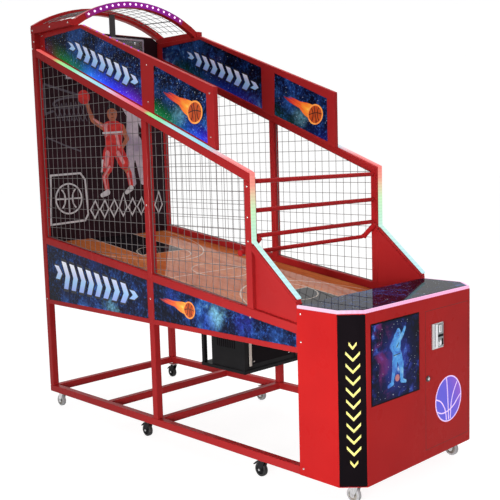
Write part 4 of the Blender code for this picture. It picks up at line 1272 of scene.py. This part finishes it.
figure("wall_player", (0.040, 1.310), 0.640,
       [("rival", INK_PALE, PALE), ("skin", INK_SKIN, SKIN), ("kit", INK_RED, KIT_RED), ("sheen", INK_PINK, SHEEN), ("white", INK_WHITE, SHOES),
        ("ball", INK_RED, BALLP), ("hair", INK_BLACK, HAIR)], wall, 2.4150, -0.0002, "black_board")
k = Kit()
k.box((-0.3995, 0.3995), (2.4149, 2.4357), (2.3452, 2.3482))
k.out("wall_top_trim", RED_IN, slot="red_powder_coat", bevel=0.0008)

# screws along the rear of the wall board
k = Kit()
for x in (-0.425, -0.142, 0.142, 0.425):
    for z in (1.00, 1.65, 2.27):
        k.lathe([(0.0, 0.0030), (0.0035, 0.0026), (0.0062, 0.0008), (0.0064, 0.0), (0.0, 0.0)], (x, 2.4354, z), (0, 1, 0), 14)
k.out("wall_screws", SCREW, slot="bright_steel", smooth=40)

# ------------------------------------------------------------------ hoop and board
k = Kit()
rows, cols = 6, 12
HY, HZ, BY = 2.155, 2.085, 2.3945
rad = [0.197, 0.178, 0.154, 0.132, 0.116, 0.109]
zz = [-0.010, -0.044, -0.082, -0.120, -0.156, -0.187]
pt = lambda j, i: (rad[j] * math.cos(2 * math.pi * (i + 0.5 * (j % 2)) / cols),
                   HY + rad[j] * math.sin(2 * math.pi * (i + 0.5 * (j % 2)) / cols), HZ + zz[j])
for j in range(rows - 1):
    for i in range(cols):
        a = Vector(pt(j, i))
        for b in ((Vector(pt(j + 1, i)), Vector(pt(j + 1, i - 1))) if j % 2 == 0 else
                  (Vector(pt(j + 1, i)), Vector(pt(j + 1, i + 1)))):
            mid = (a + b) / 2
            mid.z -= 0.003
            k.path([a, a.lerp(mid, 0.5) - Vector((0, 0, 0.0012)), mid, mid.lerp(b, 0.5) - Vector((0, 0, 0.0008)), b], 0.0022, 6)
for j in range(rows):
    for i in range(cols):
        k.lathe([(0.0, -0.0042), (0.0030, -0.0030), (0.0042, 0.0), (0.0030, 0.0030), (0.0, 0.0042)], pt(j, i), (0, 0, 1), 8)
for i in range(cols):
    a = 2 * math.pi * i / cols
    c = (0.2005 * math.cos(a), HY + 0.2005 * math.sin(a), HZ - 0.0045)
    k.torus(c, (-math.sin(a), math.cos(a), 0), 0.0095, 0.0022, 14, 6)
k.out("net_cords", CORD, slot="net_cord", smooth=60, replaces=("net",))
k = Kit()
for i in range(cols):
    a = 2 * math.pi * (i + 0.5) / cols
    c = (0.208 * math.cos(a), HY + 0.208 * math.sin(a), HZ - 0.0088)
    k.torus(c, (-math.sin(a), math.cos(a), 0), 0.0062, 0.0014, 12, 6)
k.out("rim_hooks", RIM, slot="rim_orange", smooth=60)
k = Kit()
fy = (BY - 0.0010, BY - 0.0004)
k.ribbon([(-0.301, 2.054), (0.301, 2.054), (0.301, 2.321), (-0.301, 2.321)], 0.009, on_y, *fy, closed=True)
k.ribbon([(-0.132, 2.150), (0.132, 2.150), (0.132, 2.292), (-0.132, 2.292)], 0.012, on_y, *fy, closed=True)
k.out("backboard_lines", INK_PALE, slot="clear_sheet")
k = Kit()
for x in (-0.235, 0.235):
    for z in (2.0775, 2.2975):
        k.lathe([(0.0, -0.0040), (0.0060, -0.0034), (0.0085, -0.0010), (0.0085, 0.0), (0.0, 0.0)], (x, BY - 0.0004, z), (0, 1, 0), 16)
for x in (-0.045, 0.045):
    for z in (2.100, 2.143):
        k.lathe([(0.0, -0.0048), (0.0045, -0.0048), (0.0060, -0.0030), (0.0060, 0.0), (0.0, 0.0)], (x, BY - 0.0063, z), (0, 1, 0), 6)
k.out("backboard_bolts", STEEL, slot="bright_steel", smooth=40)
# score window and its figures
k = Kit().box((-0.102, 0.102), (2.3590, 2.3598), (2.202, 2.263))
k.out("score_window", PANEL_BLACK, slot="black_plastic", bevel=0.0002)
k = Kit()
SEG = {"a": ((0, 1), (1, 1)), "b": ((1, 1), (1, .5)), "c": ((1, .5), (1, 0)), "d": ((0, 0), (1, 0)),
       "e": ((0, .5), (0, 0)), "f": ((0, 1), (0, .5)), "g": ((0, .5), (1, .5))}
for x0, segs in ((-0.088, "abcdef"), (-0.050, "abcdef"), (0.020, "abcdef"), (0.058, "abcdef")):
    for q in segs:
        (a, b), (c, d) = SEG[q]
        p1 = (x0 + a * 0.024, 2.211 + b * 0.043)
        p2 = (x0 + c * 0.024, 2.211 + d * 0.043)
        v = np.array(p2) - np.array(p1)
        v = v / np.linalg.norm(v) * 0.0022
        k.ribbon([tuple(np.array(p1) + v), tuple(np.array(p2) - v)], 0.0040, on_y, 2.3584, 2.3591)
for z in (2.225, 2.241):
    k.prism(circle((0.0, z), 0.0026, 12), on_y, 2.3584, 2.3591)
k.out("score_figures", DIGIT, slot="led_diffuser")

# ------------------------------------------------------------------ cabinet details
k = Kit().box((-0.383, -0.022), (-0.0016, -0.0003), (0.448, 0.814))
k.out("poster_backing", PANEL_BLACK, slot="printed_panel", bevel=0.0004)
k = Kit().box((-0.376, -0.028), (-0.0021, -0.0015), (0.455, 0.807))
k.out("poster_print", POSTER, slot="printed_panel")
# a generic figure bouncing a ball, blue on blue
BLUE = [oval((0.055, 0.925), 0.066, 0.082, 24, -0.1), limb((0.030, 0.850), (0.010, 0.600), 0.105, 0.100),
        limb((-0.045, 0.830), (-0.150, 0.720), 0.050, 0.040), limb((-0.150, 0.720), (-0.075, 0.610), 0.040, 0.032),
        limb((0.110, 0.820), (0.190, 0.900), 0.048, 0.038), limb((0.190, 0.900), (0.250, 0.990), 0.036, 0.028),
        limb((-0.030, 0.560), (-0.060, 0.330), 0.086, 0.062), limb((0.060, 0.560), (0.140, 0.350), 0.086, 0.064),
        limb((-0.060, 0.330), (-0.120, 0.120), 0.056, 0.040), limb((0.140, 0.350), (0.150, 0.120), 0.056, 0.042),
        limb((-0.120, 0.080), (-0.230, 0.045), 0.042, 0.030), limb((0.150, 0.080), (0.255, 0.045), 0.042, 0.030)]
DARKB = [[(0.000, 0.690), (0.072, 0.760), (0.078, 0.748), (0.010, 0.676)], [(-0.080, 0.560), (0.110, 0.570), (0.110, 0.556), (-0.080, 0.546)],
         oval((0.034, 0.932), 0.0090, 0.0058, 10), oval((0.084, 0.930), 0.0090, 0.0058, 10),
         [(0.052, 0.906), (0.062, 0.906), (0.060, 0.930), (0.056, 0.930)],
         [(0.038, 0.884), (0.080, 0.882), (0.074, 0.876), (0.044, 0.878)]]
WARM = [oval((0.020, 0.150), 0.062, 0.062, 20)]
figure("poster_player", (-0.200, 0.502), 0.262, [("figure", CYAN_FIG, BLUE), ("lines", INK_BLACK, DARKB), ("ball", INK_PINK, WARM)],
       on_y, -0.0020, -0.0002, "printed_panel")

# chamfer strips with a generic column of chevrons
for tag, s in SIDES:
    p0, p1 = np.array((s * 0.500, 0.090)), np.array((s * 0.413, 0.0))
    t = (p1 - p0) / np.linalg.norm(p1 - p0)
    nrm = np.array((s * abs(t[1]), -abs(t[0])))
    ln = float(np.linalg.norm(p1 - p0))

    def cham(u, v, w, p0=p0, t=t, nrm=nrm):
        q = p0 + t * u + nrm * w
        return (q[0], q[1], v)

    k = Kit().prism([(0.002, 0.101), (ln - 0.002, 0.101), (ln - 0.002, 0.862), (0.002, 0.862)], cham, 0.0002, 0.0010)
    k.out("corner_strip_" + tag, PANEL_BLACK, slot="black_plastic")
    k = Kit()
    n, z0, z1 = 11, 0.186, 0.762
    h = (z1 - z0) / n
    for i in range(n):
        a = z0 + h * i
        small = i in (0, n - 1)
        u0, u1 = (0.050, 0.084) if small else (0.036, 0.098)
        um = (u0 + u1) / 2
        hh = h * (0.40 if small else 0.62)
        k.prism([(u0, a + hh), (um, a), (u1, a + hh), (u1, a + hh + h * 0.26), (um, a + h * 0.26), (u0, a + hh + h * 0.26)],
                cham, 0.0008, 0.0014)
    k.out("corner_chevrons_" + tag, INK_YELLOW, slot="printed_panel")

# violet ball decal on the coin door
bc, br = (0.221, 0.352), 0.112
Kit().prism(circle(bc, br, 56), on_y, -0.0010, -0.0003).out("ball_decal", DISC, body="door", slot="printed_panel")
k = Kit()
k.ribbon(circle(bc, br - 0.0022, 56), 0.0062, on_y, -0.0016, -0.0009, closed=True)


def curve(pts, n=6):
    """Smooth curve through the points."""
    q = [np.array(p, float) for p in pts]
    q = [2 * q[0] - q[1]] + q + [2 * q[-1] - q[-2]]
    out = []
    for i in range(1, len(q) - 2):
        for t in np.linspace(0, 1, n, endpoint=False):
            out.append(tuple(0.5 * (2 * q[i] + (q[i + 1] - q[i - 1]) * t + (2 * q[i - 1] - 5 * q[i] + 4 * q[i + 1] - q[i + 2]) * t * t
                                    + (3 * q[i] - q[i - 1] - 3 * q[i + 1] + q[i + 2]) * t ** 3)))
    return out + [tuple(q[-2])]


for j, pts in enumerate((
        [(-0.16, 0.96), (-0.09, 0.45), (-0.04, -0.25), (0.00, -0.95)],
        [(0.70, 0.66), (0.42, 0.26), (0.24, -0.15), (0.17, -0.55), (0.13, -0.93)],
        [(-0.95, 0.14), (-0.60, -0.03), (-0.34, -0.34), (-0.22, -0.65), (-0.17, -0.93)],
        [(-0.87, -0.44), (-0.50, -0.57), (0.00, -0.54), (0.42, -0.38), (0.76, -0.12), (0.97, 0.02)])):
    line = [(bc[0] + u * (br - 0.003), bc[1] + v * (br - 0.003)) for u, v in curve(pts)]
    k.ribbon(line, 0.0062, on_y, -0.0015 - 0.00006 * j, -0.0008)
k.out("ball_decal_lines", INK_LILAC, body="door", slot="printed_panel")

# coin mechanism: chrome bar, entry, return cup, button collar
k = Kit()
k.box((0.0985, 0.1150), (-0.0125, -0.0078), (0.6225, 0.7365))
k.out("mech_bar", CHROME, body="door", slot="bright_steel", bevel=0.0035, seg=3)
k = Kit().box((0.1155, 0.1660), (-0.0098, -0.0078), (0.6225, 0.7365))
k.out("mech_face", MECH, body="door", slot="bright_steel", bevel=0.0016)
k = Kit()
k.box((0.1270, 0.1450), (-0.0128, -0.0096), (0.694, 0.729))
k.out("mech_slot_bezel", CHROME, body="door", slot="bright_steel", bevel=0.0014)
# painted shade: black inserts stand for the shade inside the coin slot, the return cup and a groove
k = Kit().box((0.1345, 0.1375), (-0.0132, -0.0126), (0.698, 0.725))
k.box((0.1500, 0.1620), (-0.0104, -0.0096), (0.632, 0.662))
k.box((0.1190, 0.1640), (-0.0102, -0.0096), (0.672, 0.684))
k.out("mech_openings", PANEL_BLACK, body="door", slot="black_plastic", bevel=0.0002)
k = Kit().torus((0.133, -0.0099, 0.643), (0, 1, 0), 0.0128, 0.0022, 26, 8)
k.out("button_collar", CHROME, body="door", slot="bright_steel", smooth=60)
k = Kit()
for x in (0.1195, 0.1625):
    for z in (0.6290, 0.7300):
        k.lathe([(0.0, -0.0016), (0.0016, -0.0013), (0.0024, 0.0), (0.0, 0.0)], (x, -0.0098, z), (0, 1, 0), 10)
k.out("mech_screws", SCREW, body="door", slot="bright_steel", smooth=40)

# narrow dark joint round the door
k = Kit().ribbon([(0.0299, 0.1434), (0.3966, 0.1434), (0.3966, 0.8066), (0.0299, 0.8066)], 0.0016, on_y, -0.0003, 0.0030, closed=True)
k.out("door_seam", INK_SEAM, slot="red_powder_coat")

# lock: collar on the door, key slot on the lock itself
k = Kit().torus((0.047, -0.0006, 0.486), (0, 1, 0), 0.0128, 0.0018, 28, 8)
k.out("lock_collar", DARKROD, body="door", slot="bright_steel", smooth=60)
k = Kit()
k.lathe([(0.0, -0.0066), (0.0102, -0.0066), (0.0109, -0.0060), (0.0, -0.0060)], (0.047, 0.0, 0.486), (0, 1, 0), 24)
k.out("lock_face", PANEL_BLACK, body="lock", slot="black_plastic")
k = Kit().lathe([(0.0, -0.0074), (0.0034, -0.0074), (0.0042, -0.0068), (0.0044, -0.0064), (0.0, -0.0064)], (0.047, 0.0, 0.486), (0, 1, 0), 20)
k.out("lock_plug", CHROME, body="lock", slot="bright_steel", smooth=40)
# painted shade: the black key slot stands in for the shade inside the keyway
Kit().box((0.0464, 0.0476), (-0.0077, -0.0070), (0.4830, 0.4890)).out("lock_keyway", PANEL_BLACK, body="lock", slot="black_plastic")

# hinge knuckles on the far edge of the door, inside the cabinet
k = Kit()
for z in (0.230, 0.475, 0.720):
    k.rod((0.3968, 0.0165, z - 0.030), (0.3968, 0.0165, z - 0.0005), 0.0038, 10)
    k.box((0.362, 0.3965), (0.0124, 0.0142), (z - 0.030, z - 0.0005))
k.out("door_hinge_leaves", STEEL, body="door", slot="bright_steel", smooth=40)

# vents and a cable gland on the cabinet's rear are closed sheet; screws hold its sides
k = Kit()
prof = [(0.0, 0.0026), (0.0028, 0.0022), (0.0048, 0.0007), (0.0050, 0.0), (0.0, 0.0)]
for tag, s in SIDES:
    for y, z in ((0.298, 0.842), (0.298, 0.716), (0.298, 0.130)):
        k.lathe(prof, (s * 0.5000, y, z), (s, 0, 0), 14)
    for y, z in ((2.425, 2.262), (2.445, 2.222), (2.435, 0.690), (0.617, 1.405), (0.617, 1.262), (0.617, 1.150),
                 (1.380, 0.800), (1.380, 1.300), (0.617, 0.790)):
        k.lathe(prof, (s * 0.5000, y, z), (s, 0, 0), 14)
    for y, z in ((2.045, 2.329), (2.240, 2.329), (2.435, 2.329)):
        k.lathe(prof, (s * 0.5000, y, z), (s, 0, 0), 14)
k.out("frame_screws", SCREW, slot="bright_steel", smooth=40)
# bolts along the header frames
k = Kit()
for tag, s in SIDES:
    for y, z in ((2.390, 2.295), (2.390, 2.235), (1.375, 2.030), (1.375, 1.840), (0.892, 1.850), (0.892, 1.640)):
        k.lathe([(0.0, 0.0024), (0.0024, 0.0020), (0.0040, 0.0), (0.0, 0.0)], (s * 0.4650, y, z), (s, 0, 0), 12)
k.out("header_screws", SCREW, slot="bright_steel", smooth=40)

# the lower guard bar's outer stub on the near side, and thin braces in the canopy
k = Kit().lathe([(0.0, 0.0), (0.0105, 0.0), (0.0150, 0.0030), (0.0158, 0.0075), (0.0158, 0.0230), (0.0148, 0.0262), (0.0, 0.0275)],
                (-0.4600, 0.690, 1.088), (-1, 0, 0), 22)
k.out("guard_bar_stub", RED_IN, slot="red_powder_coat", smooth=40)
k = Kit()
for sg in (-1, 1):
    k.rod((sg * 0.4395, 0.670, 1.0905), (sg * 0.4440, 0.598, 1.1600), 0.0135, 16)
    k.lathe([(0.0, -0.0012), (0.0150, -0.0012), (0.0158, 0.0), (0.0158, 0.0040), (0.0, 0.0052)], (sg * 0.4395, 0.670, 1.0905), (0, 0.72, -0.69), 16)
k.out("guard_bar_sleeves", RED_IN, slot="red_powder_coat", smooth=40)
k = Kit().rod((0.300, 2.0687, vault(0.300, 2.0687) - 0.0070), (0.300, 2.4180, vault(0.300, 2.4180) - 0.0070), 0.0030, 8)
k.rod((-0.300, 2.0687, vault(0.300, 2.0687) - 0.0070), (-0.300, 2.4180, vault(0.300, 2.4180) - 0.0070), 0.0030, 8)
k.out("canopy_braces", DARKROD, slot="bright_steel", smooth=40)

# ------------------------------------------------------------------ control box
k = Kit()
k.box((0.0380, 0.0570), (1.1868, 1.1898), (0.352, 0.700))
k.out("box_connector_strip", LABEL, slot="black_plastic", bevel=0.0006)
k = Kit()
k.box((-0.0068, 0.4468), (1.1815, 1.1829), (0.3135, 0.3325))
k.box((-0.0080, -0.0062), (1.183, 1.552), (0.3135, 0.3325))
k.out("tray_edge", PLASTIC, slot="black_plastic", bevel=0.0006)
k = Kit()
for i in range(9):
    k.box((-0.0014, -0.0001), (1.265 + i * 0.018, 1.273 + i * 0.018), (0.45, 0.60))
k.box((0.060, 0.380), (1.1880, 1.1899), (0.360, 0.690))
k.out("box_louvres", PANEL_BLACK, slot="black_plastic", bevel=0.0005)
k = Kit()
for x, z in ((0.075, 0.375), (0.365, 0.375), (0.075, 0.675), (0.365, 0.675)):
    k.lathe([(0.0, -0.0022), (0.0026, -0.0018), (0.0044, 0.0), (0.0, 0.0)], (x, 1.1881, z), (0, 1, 0), 12)
k.out("box_screws", SCREW, slot="bright_steel", smooth=40)

# gate guides and rod
k = Kit().rod((0.0, 0.645, 0.6515), (0.0, 0.645, 0.6570), 0.0070, 14)
k.out("gate_rod_tip", STEEL, slot="bright_steel", smooth=40)
k = Kit()
for x in (-0.40, 0.40):
    k.box((x - 0.012, x + 0.012), (0.6150, 0.6163), (0.700, 0.7885))
k.out("gate_ribs", STEEL, body="gate", slot="bright_steel", bevel=0.0003)

# ------------------------------------------------------------------ casters
BLACKS = {("left", 2), ("left", 3), ("right", 4)}
for tag, s in SIDES:
    for i, y in enumerate((0.075, 0.600, 1.500, 2.390), 1):
        x = s * (0.395 if i == 1 else 0.452)
        dark = (tag, i) in BLACKS
        shell = PLASTIC if dark else ZINC
        body = "swivel_%s_%d" % (tag, i)
        nm = "%s_%d" % (tag, i)
        ay, az = y + 0.018, 0.035
        # fixed plate and race
        k = Kit().box((x - 0.024, x + 0.024), (y - 0.026, y + 0.026), (0.0937, 0.0967))
        k.out("caster_plate_" + nm, ZINC, slot="caster_steel", bevel=0.0012)
        k = Kit()
        for bx in (-0.0175, 0.0175):
            for by in (-0.0195, 0.0195):
                k.lathe([(0.0, -0.0030), (0.0036, -0.0030), (0.0042, -0.0020), (0.0042, 0.0), (0.0, 0.0)],
                        (x + bx, y + by, 0.0937), (0, 0, 1), 6)
        k.out("caster_bolts_" + nm, SCREW, slot="bright_steel", smooth=30)
        # fork: two cheeks with a rounded foot about the axle, and a crown
        k = Kit()
        prof = [(y - 0.016, 0.0840), (y + 0.019, 0.0840), (y + 0.032, 0.052)]
        prof += [(ay + 0.0125 * math.cos(t), az + 0.0125 * math.sin(t)) for t in np.linspace(0.2, -3.3, 12)]
        prof += [(y - 0.003, 0.052)]
        for a in (-1, 1):
            lo, hi = sorted((x + a * 0.0125, x + a * 0.0150))
            k.prism(prof, on_x, lo, hi)
        k.out("caster_cheeks_" + nm, shell, body=body, slot="caster_steel", bevel=0.0007, replaces=("caster_fork_" + nm,))
        k = Kit()
        k.box((x - 0.0150, x + 0.0150), (y - 0.017, y + 0.019), (0.0822, 0.0848))
        k.lathe([(0.0, 0.0848), (0.0185, 0.0848), (0.0205, 0.0862), (0.0205, 0.0900), (0.0175, 0.0935), (0.0, 0.0935)],
                (x, y, 0.0), (0, 0, 1), 28)
        k.lathe([(0.0, 0.0780), (0.0060, 0.0780), (0.0068, 0.0790), (0.0068, 0.0824), (0.0, 0.0824)], (x, y, 0.0), (0, 0, 1), 6)
        k.out("caster_crown_" + nm, shell, body=body, slot="caster_steel", smooth=40)
        k = Kit()
        k.rod((x - 0.0150, ay, az), (x + 0.0150, ay, az), 0.0036, 14)
        for a in (-1, 1):
            k.lathe([(0.0, 0.0150), (0.0058, 0.0150), (0.0062, 0.0158), (0.0062, 0.0178), (0.0055, 0.0186), (0.0, 0.0186)],
                    (x, ay, az), (a, 0, 0), 6)
        k.out("caster_axle_" + nm, STEEL, body=body, slot="caster_steel", smooth=30)
        # wheel: rounded tread on a hub with a web
        h = 0.0108
        k = Kit().lathe([(0.0245, -h), (0.0322, -h), (0.0342, -h + 0.0016), (0.0350, -h + 0.0048), (0.0350, h - 0.0048),
                         (0.0342, h - 0.0016), (0.0322, h), (0.0245, h), (0.0245, -h)], (x, ay, az), (1, 0, 0), 44)
        k.out("caster_tread_" + nm, TYRE_B if dark else TYRE, body="wheel_" + nm, slot="caster_tyre", smooth=40, merge=1e-6,
              replaces=("caster_wheel_" + nm,))
        k = Kit().lathe([(0.0042, -0.0112), (0.0095, -0.0112), (0.0105, -0.0096), (0.0110, -0.0042), (0.0215, -0.0036),
                         (0.0232, -0.0090), (0.0246, -0.0096), (0.0246, 0.0096), (0.0232, 0.0090), (0.0215, 0.0036),
                         (0.0110, 0.0042), (0.0105, 0.0096), (0.0095, 0.0112), (0.0042, 0.0112), (0.0042, -0.0112)],
                        (x, ay, az), (1, 0, 0), 36)
        k.out("caster_hub_" + nm, PLASTIC if dark else TRAY_GREY, body="wheel_" + nm, slot="caster_tyre", smooth=40, merge=1e-6)
        if dark:
            k = Kit()
            pedal = [(y + 0.012, 0.0800), (y + 0.040, 0.0740), (y + 0.062, 0.0560), (y + 0.064, 0.0500), (y + 0.058, 0.0510),
                     (y + 0.038, 0.0665), (y + 0.020, 0.0740), (y + 0.012, 0.0745)]
            k.prism(pedal, on_x, x - 0.0110, x + 0.0110)
            k.out("caster_brake_" + nm, PLASTIC, body=body, slot="black_plastic", bevel=0.0012)

# ------------------------------------------------------------------ staging
fl = bpy.data.meshes.new("floor")
q = 40.0
fl.from_pydata([(-q, -q, 0), (q, -q, 0), (q, q, 0), (-q, q, 0)], [], [(0, 1, 2, 3)])
floor = bpy.data.objects.new("floor", fl)
scene.collection.objects.link(floor)
g = Mat("studio_floor", rough=0.75)
fcol = g.mix(g.step(g.noise(1.3, 3.0, 0.5), 0.3, 0.7), (0.24, 0.24, 0.24), (0.26, 0.26, 0.26))
g.color(fcol)
g.b.inputs["Specular IOR Level"].default_value = 0.0
g.glow((1.0, 1.0, 1.0), 0.90)
fl.materials.append(g.m)
floor.visible_diffuse = False

# plain white backdrop all round, which takes no part in the lighting
bm = bmesh.new()
bmesh.ops.create_uvsphere(bm, u_segments=48, v_segments=24, radius=38.0)
dm = bpy.data.meshes.new("backdrop")
bm.to_mesh(dm)
bm.free()
dome = bpy.data.objects.new("backdrop", dm)
scene.collection.objects.link(dome)
g = Mat("studio_backdrop", rough=0.9)
g.color(g.mix(g.step(g.noise(0.2, 2.0, 0.5), 0.3, 0.7), (0.02, 0.02, 0.02), (0.03, 0.03, 0.03)))
g.b.inputs["Specular IOR Level"].default_value = 0.0
g.glow((1.0, 1.0, 1.0), 1.0)
g.m.cycles.emission_sampling = "NONE"
dm.materials.append(g.m)
dome.visible_diffuse = False
dome.visible_glossy = False
dome.visible_shadow = False

w = bpy.data.worlds.new("studio")
scene.world = w
w.use_nodes = True
t = w.node_tree
bg = t.nodes["Background"]
tc = t.nodes.new("ShaderNodeTexCoord")
sep = t.nodes.new("ShaderNodeSeparateXYZ")
t.links.new(tc.outputs["Generated"], sep.inputs[0])
mr = t.nodes.new("ShaderNodeMapRange")
mr.interpolation_type = "SMOOTHSTEP"
dg = t.nodes.new("ShaderNodeMath")
dg.operation = "ADD"
t.links.new(sep.outputs[0], dg.inputs[0])
t.links.new(sep.outputs[1], dg.inputs[1])
mr.inputs["From Min"].default_value = -0.10
mr.inputs["From Max"].default_value = 0.80
mr.inputs["To Min"].default_value = 0.20
mr.inputs["To Max"].default_value = 1.0
t.links.new(dg.outputs[0], mr.inputs["Value"])
cm = t.nodes.new("ShaderNodeMix")
cm.data_type = "RGBA"
cm.inputs[6].default_value = (0, 0, 0, 1)
cm.inputs[7].default_value = (1.0, 1.0, 1.0, 1)
t.links.new(mr.outputs["Result"], cm.inputs[0])
t.links.new(cm.outputs[2], bg.inputs["Color"])
bg.inputs["Strength"].default_value = 1.0


def area(name, loc, at, size, power, col=(1, 1, 1), spread=180.0):
    la = bpy.data.lights.new(name, "AREA")
    la.shape = "RECTANGLE"
    la.size, la.size_y = size
    la.energy = power
    la.spread = math.radians(spread)
    la.color = col
    ob = bpy.data.objects.new(name, la)
    scene.collection.objects.link(ob)
    ob.location = loc
    ob.rotation_mode = "QUATERNION"
    ob.rotation_quaternion = (Vector(at) - Vector(loc)).to_track_quat("-Z", "Y")
    return ob


area("key_side", (-3.9, -2.3, 0.95), (-0.5, -1.0, 0.45), (1.2, 1.2), 36, spread=84.0)
area("fill_side", (-6.0, 1.5, 2.6), (-0.5, 0.2, 1.2), (3.0, 2.4), 34)
area("front_soft", (0.6, -6.5, 2.2), (0, -1.0, 0.8), (2.6, 2.2), 60)
area("top_soft", (0.6, 0.2, 5.2), (0.0, 0.2, 0.9), (2.8, 3.2), 110)

# camera
f = 847.0
yaw, pitch, roll = math.radians(44.21), math.radians(6.51), math.radians(-1.63)
fwd = Vector((math.sin(yaw) * math.cos(pitch), math.cos(yaw) * math.cos(pitch), -math.sin(pitch)))
right = Vector((math.cos(yaw), -math.sin(yaw), 0))
up = right.cross(fwd)
R = right * math.cos(roll) + up * math.sin(roll)
U = up * math.cos(roll) - right * math.sin(roll)
cam = bpy.data.cameras.new("camera")
cam.sensor_width = 36.0
cam.lens = f / 500.0 * 36.0
cam.clip_start, cam.clip_end = 0.05, 200.0
co = bpy.data.objects.new("camera", cam)
scene.collection.objects.link(co)
co.matrix_world = Matrix(((R.x, U.x, -fwd.x, -3.233), (R.y, U.y, -fwd.y, -3.4245), (R.z, U.z, -fwd.z, 1.557), (0, 0, 0, 1)))
scene.camera = co
